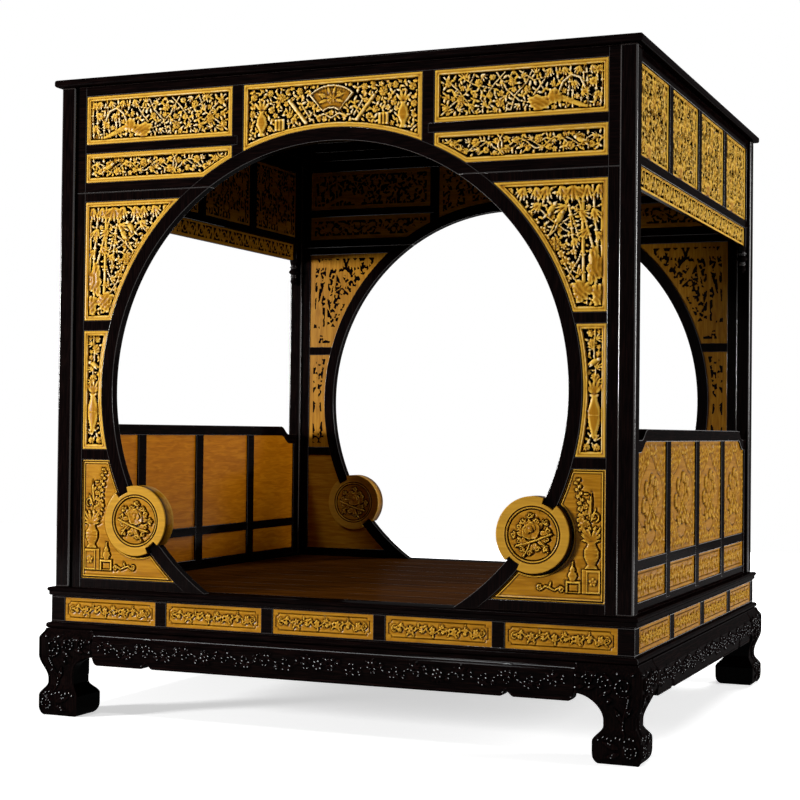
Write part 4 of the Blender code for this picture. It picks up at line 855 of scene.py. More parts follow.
def beside_ring(inner, low, high):
    """A window between the ring and the stile: a function that gives how far inside it points lie."""

    def into(u, v):
        ring = np.hypot(u, v - RING_HEIGHT) - RING_OUTER
        return np.minimum.reduce([u - inner, STILE_EDGE - u, v - low, high - v, ring])

    return into


def carve_spandrel(wood):
    """A bamboo grove with hanging leaves, birds on crossing twigs, chrysanthemums, and rocks at the foot."""
    for foot, top, width in (((0.918, 1.06), (0.912, 1.41), 0.013), ((0.962, 1.16), (0.884, 1.41), 0.010),
                             ((0.884, 1.20), (0.868, 1.33), 0.009), ((0.966, 1.18), (0.946, 1.41), 0.009),
                             ((0.980, 1.10), (0.978, 1.41), 0.006), ((0.905, 1.22), (0.846, 1.40), 0.006)):
        lay_bamboo(wood, foot, top, width)
    for u, v, angle, length in ((0.668, 1.410, -2.1, 0.050), (0.712, 1.410, -1.9, 0.062),
                                (0.752, 1.408, -1.4, 0.066), (0.790, 1.410, -1.8, 0.072),
                                (0.838, 1.410, -1.3, 0.070), (0.878, 1.408, -1.9, 0.074),
                                (0.880, 1.404, -0.9, 0.070), (0.930, 1.408, -1.6, 0.066),
                                (0.968, 1.408, -1.4, 0.066), (0.770, 1.352, -2.5, 0.055),
                                (0.862, 1.340, -2.7, 0.062), (0.900, 1.322, -0.6, 0.055),
                                (0.948, 1.330, -1.2, 0.060), (0.934, 1.262, -2.4, 0.055),
                                (0.962, 1.250, -0.8, 0.045), (0.880, 1.235, -1.1, 0.045)):
        lay_spray(wood, (u, v), angle, 5, length)
    for path in ([(0.745, 1.352), (0.800, 1.300), (0.850, 1.262), (0.905, 1.235)],
                 [(0.800, 1.245), (0.850, 1.290), (0.905, 1.322)],
                 [(0.790, 1.230), (0.815, 1.275), (0.822, 1.300)],
                 [(0.905, 1.075), (0.862, 1.130), (0.836, 1.190), (0.822, 1.212)],
                 [(0.870, 1.115), (0.900, 1.160), (0.910, 1.190)], [(0.862, 1.130), (0.838, 1.138)]):
        lay_stem(wood, path, 0.0055, 0.005, 0.004, 0.8)
    lay_peony(wood, (0.818, 1.214), 0.025, 0.006, 0.008)
    for u, v, r in ((0.776, 1.262, 0.015), (0.790, 1.238, 0.013), (0.842, 1.182, 0.014),
                    (0.858, 1.158, 0.016), (0.838, 1.150, 0.011), (0.880, 1.142, 0.014),
                    (0.850, 1.206, 0.011), (0.884, 1.188, 0.012), (0.866, 1.100, 0.013),
                    (0.880, 1.075, 0.011), (0.752, 1.290, 0.014), (0.732, 1.318, 0.012),
                    (0.905, 1.120, 0.012)):
        lay_blossom(wood, (u, v), r, 5, u * 90, 0.005, 0.007)
    lay_rock(wood, (0.956, 1.136), (0.027, 0.058), 0.3, 0.005, 0.009, 2.2)
    lay_rock(wood, (0.912, 1.058), (0.034, 0.036), 0.6, 0.005, 0.009, 1.0)
    lay_rock(wood, (0.966, 1.044), (0.020, 0.042), 0.5, 0.005, 0.009, 0.4)
    lay_bird(wood, (0.806, 1.330), 0.9, 0.042)
    lay_bird(wood, (0.836, 1.302), 1.1, 0.040, -1)


def carve_upper_frieze(wood):
    """A thicket in flower, a cliff with a sloping bank, a bent arch of bamboo and a grove of thin stalks."""
    for path in ([(0.41, 1.665), (0.45, 1.70), (0.50, 1.735), (0.53, 1.80)],
                 [(0.56, 1.665), (0.565, 1.71), (0.60, 1.76), (0.64, 1.80)],
                 [(0.66, 1.67), (0.675, 1.72), (0.715, 1.76), (0.735, 1.80)],
                 [(0.42, 1.795), (0.47, 1.75), (0.51, 1.70), (0.53, 1.665)],
                 [(0.61, 1.80), (0.645, 1.74), (0.69, 1.70), (0.73, 1.69)],
                 [(0.475, 1.80), (0.525, 1.765), (0.60, 1.745)],
                 [(0.74, 1.715), (0.775, 1.760), (0.80, 1.80)], [(0.69, 1.80), (0.74, 1.765), (0.79, 1.775)]):
        lay_stem(wood, path, 0.0055, 0.004, 0.005, 0.8)
    for u, v, r in ((0.482, 1.712, 0.017), (0.545, 1.768, 0.014), (0.622, 1.696, 0.016),
                    (0.665, 1.764, 0.015), (0.436, 1.772, 0.013), (0.428, 1.690, 0.014),
                    (0.718, 1.735, 0.014), (0.585, 1.725, 0.012), (0.520, 1.690, 0.012),
                    (0.595, 1.785, 0.011)):
        lay_peony(wood, (u, v), r, 0.005, 0.008, u * 40)
    for k, (u, v) in enumerate(((0.455, 1.735), (0.505, 1.742), (0.575, 1.690), (0.645, 1.720),
                                (0.625, 1.770), (0.695, 1.780), (0.500, 1.785), (0.410, 1.730),
                                (0.690, 1.690), (0.555, 1.795), (0.470, 1.680), (0.750, 1.785))):
        lay_spray(wood, (u, v), 1.3 * k, 4, 0.034, 0.5)
    lay_rock(wood, (0.765, 1.688), (0.044, 0.026), 0.9, 0.005, 0.008, 0.7)
    lay_rock(wood, (0.812, 1.704), (0.026, 0.026), 0.6, 0.006, 0.008, 2.6)
    lay_stem(wood, [(0.815, 1.708), (0.860, 1.690), (0.925, 1.664)], 0.026, 0.005, 0.006, 0.5)
    arch = [(0.826, 1.712), (0.842, 1.750), (0.872, 1.773), (0.902, 1.762), (0.920, 1.725)]
    lay_stem(wood, arch, 0.008, 0.008, 0.005, 0.8)
    for u, lean in ((0.852, 0.016), (0.876, -0.010), (0.900, 0.014), (0.926, -0.006), (0.948, 0.012),
                    (0.970, 0.006)):
        lay_bamboo(wood, (u, 1.665), (u + lean, 1.806), 0.0055, 0.003, 5)
    for u, v, angle in ((0.80, 1.802, -1.9), (0.845, 1.802, -1.3), (0.90, 1.802, -1.9), (0.94, 1.802, -1.2),
                        (0.97, 1.800, -1.9), (0.882, 1.755, -1.5), (0.935, 1.755, -0.8), (0.955, 1.760, -2.2),
                        (0.905, 1.720, -0.5), (0.965, 1.715, -1.9)):
        lay_spray(wood, (u, v), angle, 5, 0.042, 0.34)


def carve_lower_frieze(wood):
    """Leaves and small flowers along two waving stems, two crossing hoops, and a bird near the post."""
    u = np.linspace(0.40, 0.985, 80)
    wave = 2 * np.pi / 0.13
    lay_stem(wood, np.stack([u, 1.554 + 0.018 * np.sin(wave * (u - 0.40))], axis=-1), 0.005, 0.004, 0.005)
    lay_stem(wood, np.stack([u, 1.554 - 0.014 * np.sin(wave * (u - 0.36))], axis=-1), 0.004, 0.003, 0.005)
    for middle, way in ((0.610, 1), (0.640, -1)):
        v = np.linspace(1.515, 1.592, 10)
        hoop = np.stack([middle + way * 0.022 * np.cos((v - 1.554) * 36), v], axis=-1)
        lay_stem(wood, hoop, 0.006, 0.006, 0.005)
    for k, u in enumerate(np.arange(0.425, 0.98, 0.037)):
        side = -1 if k % 2 == 0 else 1
        lay_peony(wood, (u, 1.554 + 0.014 * side), 0.012 if k % 3 else 0.015, 0.005, 0.007, u * 50)
        lay_spray(wood, (u + 0.018, 1.554 - 0.012 * side), 1.1 * k, 4, 0.028, 0.5)
    lay_bird(wood, (0.905, 1.556), 2.6, 0.036)


def carve_centre_frieze(wood):
    """A folding fan with a flower on it, two scroll rods, and vases and books among foliage on both sides."""
    pivot = (0.0, 1.672)
    for way in (-1, 1):
        lay_vessel(wood, (way * 0.272, 1.634), [0.0, 0.008, 0.014, 0.040, 0.066, 0.080, 0.090],
                   [0.014, 0.013, 0.008, 0.022, 0.017, 0.008, 0.012], 0.006)
        for angle in (0.8, 1.3, 1.8, 2.3):
            lay_leaf(wood, (way * 0.272, 1.722), angle, 0.045, 0.012, 0.005, 0.006)
        for shift in (0.0, 0.013, 0.026):
            spine, edge = way * 0.200 - 0.020 + shift, way * 0.200 - 0.008 + shift
            lay_block(wood, (spine, 1.648), (edge, 1.690), 0.006, 0.006)
        lay_stem(wood, [(way * 0.162, 1.752), (way * 0.098, 1.672)], 0.013, 0.008, 0.006)
        lay_stem(wood, [(way * 0.120, 1.742), (way * 0.085, 1.690)], 0.006, 0.004, 0.005)
        for u, v, r in ((0.195, 1.765, 0.017), (0.125, 1.785, 0.013), (0.305, 1.775, 0.014),
                        (0.240, 1.785, 0.013), (0.235, 1.725, 0.013), (0.310, 1.715, 0.013),
                        (0.165, 1.705, 0.013), (0.070, 1.800, 0.010), (0.155, 1.800, 0.011)):
            lay_peony(wood, (way * u, v), r, 0.004, 0.008, 30 * u)
        for k, (u, v) in enumerate(((0.215, 1.745), (0.275, 1.755), (0.165, 1.785), (0.310, 1.745),
                                    (0.120, 1.760), (0.145, 1.680), (0.315, 1.680), (0.315, 1.800),
                                    (0.205, 1.800), (0.265, 1.800))):
            lay_cluster(wood, (way * u, v), 1.7 * k, 4, 0.016)
        lay_stem(wood, [(0.0, 1.684), (way * 0.030, 1.700), (way * 0.058, 1.686)], 0.006, 0.005, 0.005)
        lay_cluster(wood, (way * 0.040, 1.684), np.pi / 2 - way * 1.2, 3, 0.018)

    def fan(du, dv):
        r, angle = np.hypot(du, dv), np.arctan2(du, dv)
        edge = np.minimum(np.minimum(r - 0.045, 0.128 - r), (0.74 - np.abs(angle)) * 0.085)
        pleat = np.abs(((angle / 0.103) % 1.0) - 0.5)
        rim = np.interp(edge, [0.0, 0.0012, 0.005, 0.0062], [0.009, 0.0135, 0.0135, 0.004])
        return edge, np.where(edge < 0.0062, rim, 0.0078 + 0.0014 * pleat)

    lay(wood, pivot, 0.129, fan)
    lay_peony(wood, (0.0, 1.752), 0.018, 0.008, 0.006)
    lay_blossom(wood, (0.030, 1.768), 0.010, 5, 0.2, 0.008, 0.005)
    lay_blossom(wood, (-0.032, 1.762), 0.010, 5, 0.7, 0.008, 0.005)
    for angle, length in ((0.3, 0.040), (-0.3, 0.036), (2.8, 0.040), (3.4, 0.036), (1.2, 0.030),
                          (1.9, 0.030)):
        root = (0.016 * np.cos(angle), 1.752 + 0.016 * np.sin(angle))
        lay_leaf(wood, root, angle, length, 0.011, 0.008, 0.004)


def carve_narrow(wood):
    """A tall vase of flowers, a bird over it, and blossoms to the top of the board."""
    lay_vessel(wood, (0.958, 0.578), [0.0, 0.006, 0.012, 0.020, 0.055, 0.085, 0.115, 0.130, 0.140],
               [0.014, 0.015, 0.010, 0.013, 0.021, 0.023, 0.013, 0.010, 0.017], 0.006, 0.007)
    lay_stem(wood, [(0.945, 0.650), (0.975, 0.650)], 0.004, 0.011, 0.003)
    for angle in (0.9, 1.25, 1.6, 1.95, 2.3):
        lay_leaf(wood, (0.958, 0.716), angle, 0.060, 0.012, 0.005, 0.006)
    lay_stem(wood, [(0.958, 0.716), (0.962, 0.79), (0.955, 0.86), (0.960, 0.945)], 0.006, 0.005, 0.005)
    for u, v, r in ((0.960, 0.775, 0.015), (0.950, 0.885, 0.016), (0.972, 0.850, 0.012),
                    (0.945, 0.920, 0.014), (0.975, 0.925, 0.012), (0.930, 0.545, 0.014),
                    (0.965, 0.545, 0.013), (0.935, 0.790, 0.011)):
        lay_peony(wood, (u, v), r, 0.005, 0.008, v * 60)
    for v, angle in ((0.755, 0.4), (0.870, 2.8), (0.900, 0.2), (0.565, 1.2), (0.805, 0.3)):
        lay_spray(wood, (0.960, v), angle, 4, 0.036, 0.45)
    lay_bird(wood, (0.956, 0.824), 0.5, 0.036)


def carve_corner(wood):
    """A basket vase with leaves and a blossoming branch on a box, a gourd on a small stand, and a scroll."""
    lay_block(wood, (0.922, 0.066), (0.986, 0.146), 0.0, 0.002)
    frame_line = [(0.939, 0.071), (0.982, 0.071), (0.982, 0.139), (0.939, 0.139), (0.939, 0.071)]
    lay_stem(wood, frame_line, 0.006, 0.002, 0.003)
    lay_blossom(wood, (0.960, 0.105), 0.015, 5, 0.3, 0.002, 0.005)
    lay_block(wood, (0.866, 0.098), (0.918, 0.106), 0.001, 0.004)
    lay_block(wood, (0.866, 0.066), (0.918, 0.071), 0.001, 0.003)
    for u in (0.866, 0.910):
        lay_block(wood, (u, 0.066), (u + 0.008, 0.102), 0.001, 0.003)
    lay_vessel(wood, (0.890, 0.106), [0.0, 0.005, 0.016, 0.027, 0.031, 0.037, 0.044, 0.050, 0.064],
               [0.008, 0.010, 0.016, 0.013, 0.008, 0.010, 0.007, 0.003, 0.003], 0.0, 0.006)
    lay_vessel(wood, (0.954, 0.148), [0.0, 0.006, 0.014, 0.020, 0.040, 0.060, 0.074, 0.082, 0.090],
               [0.022, 0.019, 0.013, 0.016, 0.026, 0.025, 0.016, 0.013, 0.020], 0.0, 0.006)
    for v, half in ((0.176, 0.018), (0.188, 0.022), (0.200, 0.023), (0.212, 0.020)):
        lay_stem(wood, [(0.954 - half, v), (0.954, v - 0.003), (0.954 + half, v)], 0.003, 0.0045, 0.002)
    for angle, length in ((0.15, 0.034), (0.55, 0.042), (0.95, 0.060), (1.35, 0.045), (1.9, 0.045),
                          (2.3, 0.060), (2.65, 0.044), (3.05, 0.036)):
        lay_leaf(wood, (0.954, 0.238), angle, length, 0.010, 0.0, 0.005)
    lay_cluster(wood, (0.935, 0.288), 2.2, 4, 0.020, 0.0, 0.006)
    lay_cluster(wood, (0.916, 0.300), 1.2, 4, 0.018, 0.0, 0.006)
    lay_peony(wood, (0.926, 0.296), 0.016, 0.001, 0.006)
    lay_stem(wood, curl((0.963, 0.318), 0.017, -1.2, 1.2), 0.006, 0.0, 0.005, 0.7)
    lay_leaf(wood, (0.946, 0.310), 1.5, 0.090, 0.011, 0.0, 0.006)
    lay_leaf(wood, (0.950, 0.300), 1.2, 0.050, 0.010, 0.0, 0.005)
    branch = np.array([(0.928, 0.306), (0.922, 0.345), (0.911, 0.390), (0.902, 0.442)])
    lay_stem(wood, branch, 0.0045, 0.0, 0.004, 0.6)
    for k, v in enumerate(np.linspace(0.318, 0.438, 12)):
        u = np.interp(v, branch[:, 1], branch[:, 0]) + (0.0065 if k % 2 else -0.0065)
        lay_blossom(wood, (u, v), 0.0085 - 0.0002 * k, 5, k, 0.0005, 0.005)
    for angle, length in ((1.05, 0.070), (1.35, 0.055), (1.85, 0.060), (2.15, 0.075), (0.75, 0.050),
                          (2.5, 0.050)):
        lay_leaf(wood, (0.956, 0.236), angle, length, 0.007, 0.001, 0.005)
    for k, (u, v) in enumerate(((0.938, 0.268), (0.920, 0.272), (0.942, 0.334), (0.932, 0.352),
                                (0.914, 0.318), (0.970, 0.276))):
        lay_cluster(wood, (u, v), 1.9 * k, 4, 0.012, 0.0, 0.005)
    for k, (u, v) in enumerate(((0.905, 0.284), (0.952, 0.272), (0.930, 0.322), (0.916, 0.352),
                                (0.938, 0.374), (0.925, 0.392))):
        lay_leaf(wood, (u, v), 0.8 + 1.1 * k, 0.020, 0.008, 0.0, 0.005)
    scroll = [(0.785, 0.076), (0.798, 0.086), (0.814, 0.080), (0.830, 0.073), (0.844, 0.082)]
    lay_stem(wood, scroll, 0.0055, 0.0005, 0.004)
    lay_stem(wood, curl((0.778, 0.083), 0.010, -1.2, -1.2, 16), 0.005, 0.0005, 0.004)
    lay_stem(wood, curl((0.851, 0.077), 0.010, 1.9, -1.2, 16), 0.005, 0.0005, 0.004)
    lay_leaf(wood, (0.810, 0.082), 1.2, 0.020, 0.008, 0.0005, 0.004)


def over_crown(u, v):
    """How far points lie inside the centre frieze's window, between two muntins and over the ring's crown."""
    return np.minimum.reduce([MUNTIN_NEAR - np.abs(u), UPPER_TOP - v,
                              np.hypot(u, v - RING_HEIGHT) - RING_OUTER])


def off_roundel(u, v):
    """How far points lie outside the roundel."""
    return np.hypot(u - ROUNDEL_AT[0], v - ROUNDEL_AT[1]) - ROUNDEL_RADIUS


def round_roundel(u, v):
    """How far points lie inside a lower corner's window, which the roundel cuts into."""
    return np.minimum(beside_ring(0.0, SILL, CORNER_TOP)(u, v), off_roundel(u, v))


def openwork_border(into):
    """Height of an openwork board's border at a distance into its window: a band, a fine quirk and a bead."""
    return np.interp(into, [0.0, 0.0015, 0.003, 0.0095, 0.0110, 0.0125, 0.0145, 0.0165, 0.0178, 0.0190],
                     [0.009, 0.012, 0.013, 0.013, 0.0112, 0.0122, 0.013, 0.0118, 0.008, 0.004])


def corner_border(into):
    """Height of a corner's border at a distance into its window: a fillet, a groove, a bead to the field."""
    return np.interp(into, [0.0, 0.0010, 0.0040, 0.0052, 0.0072, 0.0085, 0.0105, 0.0125, 0.0140, 0.0160],
                     [0.006, 0.0095, 0.010, 0.0062, 0.0062, 0.0100, 0.0112, 0.0104, 0.0070, 0.0085])


def panel(window, carve, low, high, step, gap):
    """A carved board for a window of a gate, and its dips. gap is the widest opening left, or none if solid.

    On openwork the lowest wood gets painted shade. On a solid board, painted shade darkens the border's
    groove, and a painted shadow lies beside the roundel.
    """
    spans = [np.arange(start - 0.008, end + 0.008 + step, step) for start, end in zip(low, high)]
    wood = uncut(*np.meshgrid(*spans))
    into = window(wood.u, wood.v)
    if gap:
        wood.edge = np.maximum(wood.edge, BORDER - into)
        carve(wood)
        fill_with_leaves(wood, into > BORDER, gap, np.random.default_rng(3))
        wood.edge = np.minimum(into + 0.006, np.maximum(BORDER - into, wood.edge))
        wood.lift = np.where(into < BORDER, openwork_border(into), wood.lift)
        # Painted shade that deepens the lower the wood lies, and painted glints on the highest crests.
        return wood, hollows(wood.lift, least=-2.4) + 0.45 * np.clip(1 - wood.lift / 0.006, 0.0, 1.0)
    carve(wood)
    sink_ground(wood, 0.0032, 0.008)
    wood.lift = np.where(into < CORNER_BORDER, corner_border(into), wood.lift + CORNER_GROUND)
    wood.edge = into + 0.006
    # Painted shade in the border's groove, and a painted shadow of the roundel on the border beside it.
    border_groove_painted_shade = np.exp(-(((into - 0.0062) / 0.0017) ** 2))
    roundel_painted_shadow = 1.5 * np.clip((0.0085 - off_roundel(wood.u, wood.v)) / 0.002, 0.0, 1.0)
    return wood, np.clip(hollows(wood.lift, 2, 0.0032) + border_groove_painted_shade + roundel_painted_shadow, -1.0, 1.0)


def cut_out(wood, dip, back):
    """Turns carved wood into a solid: the cells inside it, their rim on its outline, walls and a back.

    A rim point moves along the slope of edge to where edge is nothing, by three quarters of a cell at most.
    The back is left flat from the saw, and the walls get painted shade as dark as the deepest cuts.
    """
    corners = quads(*wood.u.shape)
    faces = corners[wood.edge.ravel()[corners].mean(axis=1) > 0]
    sides = np.concatenate([faces[:, [0, 1]], faces[:, [1, 2]], faces[:, [2, 3]], faces[:, [3, 0]]])
    key = sides.min(axis=1) * wood.u.size + sides.max(axis=1)
    _, first, uses = np.unique(key, return_index=True, return_counts=True)
    rim = sides[first[uses == 1]]
    step = wood.u[0, 1] - wood.u[0, 0]
    slope_v, slope_u = np.gradient(wood.edge, step)
    steep = np.maximum(slope_u**2 + slope_v**2, 0.05)
    move = -wood.edge / steep
    far = np.maximum(np.abs(move) * np.sqrt(steep) / (0.75 * step), 1.0)
    on_rim = np.zeros(wood.u.size, bool)
    on_rim[rim] = True
    move = np.where(on_rim.reshape(wood.u.shape), move / far, 0.0)
    front = np.stack([wood.u + move * slope_u, wood.v + move * slope_v, wood.lift], axis=-1).reshape(-1, 3)
    used = np.unique(faces)
    number = np.zeros(wood.u.size, int)
    number[used] = np.arange(len(used))
    faces, rim = number[faces], number[rim]
    rear = front[used] * (1, 1, 0) + (0, 0, back)
    a, b = rim.T
    walls = np.stack([a, a + len(used), b + len(used), b], axis=-1)
    # The walls get painted shade.
    dips = np.concatenate([dip.ravel()[used][faces].ravel(), np.zeros(faces.size), np.full(walls.size, 0.9)])
    return (np.concatenate([front[used], rear]), [faces, faces[:, ::-1] + len(used), walls]), dips


def dark_sheet_for_shade(window, middle):
    """A thin dark sheet behind an opening, standing in for shade, its outline 5 mm into the window, found by
    halving out from middle.
    """
    angle = np.linspace(0.0, 2 * np.pi, 360, endpoint=False)
    near, far = np.zeros_like(angle), np.full_like(angle, 0.7)
    for _ in range(24):
        reach = (near + far) / 2
        inside = window(middle[0] + reach * np.cos(angle), middle[1] + reach * np.sin(angle)) > 0.005
        near, far = np.where(inside, reach, near), np.where(inside, far, reach)
    rim = np.stack([middle[0] + near * np.cos(angle), middle[1] + near * np.sin(angle)], axis=-1)
    points = np.concatenate([np.insert(rim, 2, depth, axis=-1) for depth in (-0.0085, -0.0105)])
    return points, tube(2, len(angle), True)


# Window, carving, its lower and upper corners, the widest gap of its openwork, and a middle for the dark
# sheet behind it.
PANELS = {
    "frieze_upper": (beside_ring(MUNTIN_FAR, UPPER_FOOT, UPPER_TOP), carve_upper_frieze,
                     (MUNTIN_FAR, UPPER_FOOT), (STILE_EDGE, UPPER_TOP), 0.0062, (0.70, 1.73)),
    "frieze_lower": (beside_ring(MUNTIN_FAR, LOWER_FOOT, LOWER_TOP), carve_lower_frieze,
                     (MUNTIN_FAR, LOWER_FOOT), (STILE_EDGE, LOWER_TOP), 0.0058, (0.72, 1.57)),
    "frieze_centre": (over_crown, carve_centre_frieze,
                      (-MUNTIN_NEAR, 1.588), (MUNTIN_NEAR, UPPER_TOP), 0.0058, (0.0, 1.79)),
    "spandrel": (beside_ring(0.0, SPANDREL_FOOT, SPANDREL_TOP), carve_spandrel,
                 (0.598, SPANDREL_FOOT), (STILE_EDGE, SPANDREL_TOP), 0.0068, (0.95, 1.36)),
    "narrow": (beside_ring(0.0, NARROW_FOOT, NARROW_TOP), carve_narrow,
               (0.890, NARROW_FOOT), (STILE_EDGE, NARROW_TOP), 0.0058, (0.97, 0.73)),
    "corner": (round_roundel, carve_corner, (0.598, SILL), (STILE_EDGE, CORNER_TOP), None, None),
}
PANEL_OUT, PANEL_BACK = 0.9715, -0.0135
STEP_OF = {"front": 0.0026, "back": 0.0043}
for gate, hands in HANDS.items():
    shade_sheets = []
    for name, (window, carve, low, high, gap, middle) in PANELS.items():
        carved, dip = cut_out(*panel(window, carve, low, high, STEP_OF[gate], gap), PANEL_BACK)
        grain = nanmu_upright if name in ("narrow", "spandrel") else nanmu_along_x
        if gap:
            shade_sheets.append(dark_sheet_for_shade(window, middle))
        if name == "frieze_centre":
            piece(f"gate_{gate}_{name}_carved", set_in(gate, [carved], PANEL_OUT, SEAT), grain,
                  f"gate_{gate}_{name}", dip)
            continue
        if gap:
            shade_sheets.append(flipped(shade_sheets[-1]))
        for hand, part, dips in zip(hands, (carved, flipped(carved)), (dip, dip.reshape(-1, 4)[:, ::-1])):
            piece(f"gate_{gate}_{name}_carved_{hand}", set_in(gate, [part], PANEL_OUT, SEAT), grain,
                  f"gate_{gate}_{name}_{hand}", dips)
    # The dark sheets that stand in for shade behind the openwork.
    piece(f"gate_{gate}_linings", set_in(gate, shade_sheets, PANEL_OUT, SEAT), rosewood_along_x)

# Roundels. Thick discs of nanmu over the lower arcs of each ring, notched to take the ends of the ring,
# turned with a flat rim and a bead between two grooves, and carved on both faces with a peony sunk into the
# field.
NOTCHES, NOTCH_HALF, NOTCH_DEEP = (61.6, 234.0), 11.5, 0.020
ROUNDEL_HALF, ROUNDEL_PROUD = 0.0225, 0.008


def carve_roundel(wood):
    """A peony with few broad petals, leaves that end in curls round it, and a twig across with two stems."""
    for k, angle in enumerate(np.radians((14, 44, 72, 98, 126, 152, 180, 207, 232, 262, 290, 318, 344))):
        ray = np.array((np.cos(angle), np.sin(angle)))
        tip = (0.058 + 0.009 * np.sin(2.4 * k)) * ray
        way = 1 if k % 2 else -1
        lay_leaf(wood, 0.026 * ray, angle + 0.2 * way, 0.030, 0.017, 0.001, 0.005)
        lay_stem(wood, curl(tip, 0.0095, angle + 1.9 * way, 1.15 * way, 14), 0.0055, 0.002, 0.005, 0.75)
        lay_leaf(wood, tip - 0.010 * ray, angle - 0.9 * way, 0.019, 0.009, 0.001, 0.005)
    for k, angle in enumerate((0.5, 1.5, 2.6, 3.7, 5.4)):
        length = 0.033 - 0.003 * (k % 3)
        lay_petal(wood, (-0.004, 0.014), angle, length, 0.95 * length, 0.004 + 0.0014 * (k % 2), 0.006, 2)
    for k, angle in enumerate((0.9, 2.1, 3.3)):
        lay_petal(wood, (-0.004, 0.016), angle, 0.021, 0.019, 0.0075 + 0.0012 * k, 0.004, 1)
    lay_oval(wood, (-0.004, 0.019), (0.0085, 0.0105), 0.3, 0.0105, 0.004)
    twig = [(-0.056, -0.038), (-0.018, -0.028), (0.018, -0.016), (0.066, 0.004)]
    lay_stem(wood, twig, 0.0065, 0.006, 0.005)
    lay_stem(wood, [(-0.006, -0.026), (-0.014, -0.048), (-0.030, -0.072)], 0.0055, 0.004, 0.005)
    lay_stem(wood, [(0.022, -0.014), (0.042, -0.034), (0.056, -0.056)], 0.0055, 0.004, 0.005)


angles = [np.linspace(0.0, 2 * np.pi, 162, endpoint=False)]
for notch in NOTCHES:
    cheeks = np.array((notch - NOTCH_HALF, notch + NOTCH_HALF))
    angles.append(np.radians(np.concatenate([cheeks + (-0.1, 0.1), cheeks])))
angles = np.unique(np.concatenate(angles))
notched = np.any([np.abs(np.degrees(angles) - notch) < NOTCH_HALF + 0.05 for notch in NOTCHES], axis=0)
RIM_SHARES = (0.98, 0.988, 0.994, 0.998, 1.0, 1.0)
share = np.concatenate([np.linspace(0.006, 0.97, 56), RIM_SHARES])[:, None]
r = share * np.where(notched, ROUNDEL_RADIUS - NOTCH_DEEP, ROUNDEL_RADIUS)
disc = uncut(r * np.cos(angles), r * np.sin(angles))
carve_roundel(disc)
sink_ground(disc, 0.0032, 0.008)
turning = np.interp(r, [0.0, 0.0825, 0.0845, 0.0865, 0.0885, 0.0910, 0.0930, 0.0948, 0.0968, 0.13],
                    [0.001, 0.001, -0.0015, -0.0015, 0.0042, 0.0045, 0.0015, 0.0015, 0.004, 0.004])
disc.lift = turning + disc.lift * np.clip((0.0835 - r) / 0.003, 0.0, 1.0)
rounding = np.clip((share - 0.976) / 0.024, 0.0, 1.0)
face = ROUNDEL_HALF + disc.lift - 0.003 * (1 - np.sqrt(1 - rounding**2))
face[-1] -= 0.004
# Painted shade darkens the two grooves and the wall, and the flat rim is paler.
painted_groove_shade = np.exp(-(((r - 0.0855) / 0.0017) ** 2)) + 0.6 * np.exp(-(((r - 0.0939) / 0.0014) ** 2))
dip = np.clip(hollows(disc.lift, 2, 0.0034) + painted_groove_shade, -1.0, 1.0) - 0.32 * (r > 0.0975)
shaded = dip.copy()
# The wall gets the darkest painted shade on the front face.
shaded[-1] = 0.55
both = np.stack([np.concatenate([disc.u, disc.u[::-1]]) + ROUNDEL_AT[0],
                 np.concatenate([disc.v, disc.v[::-1]]) + ROUNDEL_AT[1],
                 np.concatenate([face + ROUNDEL_PROUD, -face[::-1]])], axis=-1)
roundel = both.reshape(-1, 3), tube(*both.shape[:2], True)
dips = np.concatenate([shaded, dip[::-1]])
for gate, hands in HANDS.items():
    for hand, part in zip(hands, (roundel, flipped(roundel))):
        piece(f"gate_{gate}_roundel_carved_{hand}", set_in(gate, [part], GATE_MIDDLE, SEAT), nanmu_along_x,
              f"gate_{gate}_roundel_{hand}", dips)

# Railings. Low rosewood frames between the posts on both sides, stepped down at their ends, with nanmu boards
# in two rows: tall ones with flowers in a cartouche, small ones with a vine, and plain boards behind them on
# the bed's side.
SIDE_OUT, SIDE_END = 1.070, 0.9397
RAILING_BAY, RAILING_MUNTIN, RAILING_END = 0.4075, 0.060, 0.905
BOARD_FOOT, BOARD_HEAD, STEP_END = 0.174, 0.567, 0.868
railing_starts = -RAILING_END + np.arange(4) * (RAILING_BAY + RAILING_MUNTIN)


def stepped(u, level, end):
    """A level line that steps down in a wave by 37 mm towards both ends."""
    return level - eased(np.abs(u), [(0.0, 0.0), (end - 0.080, 0.0), (end, 0.037), (1.0, 0.037)])


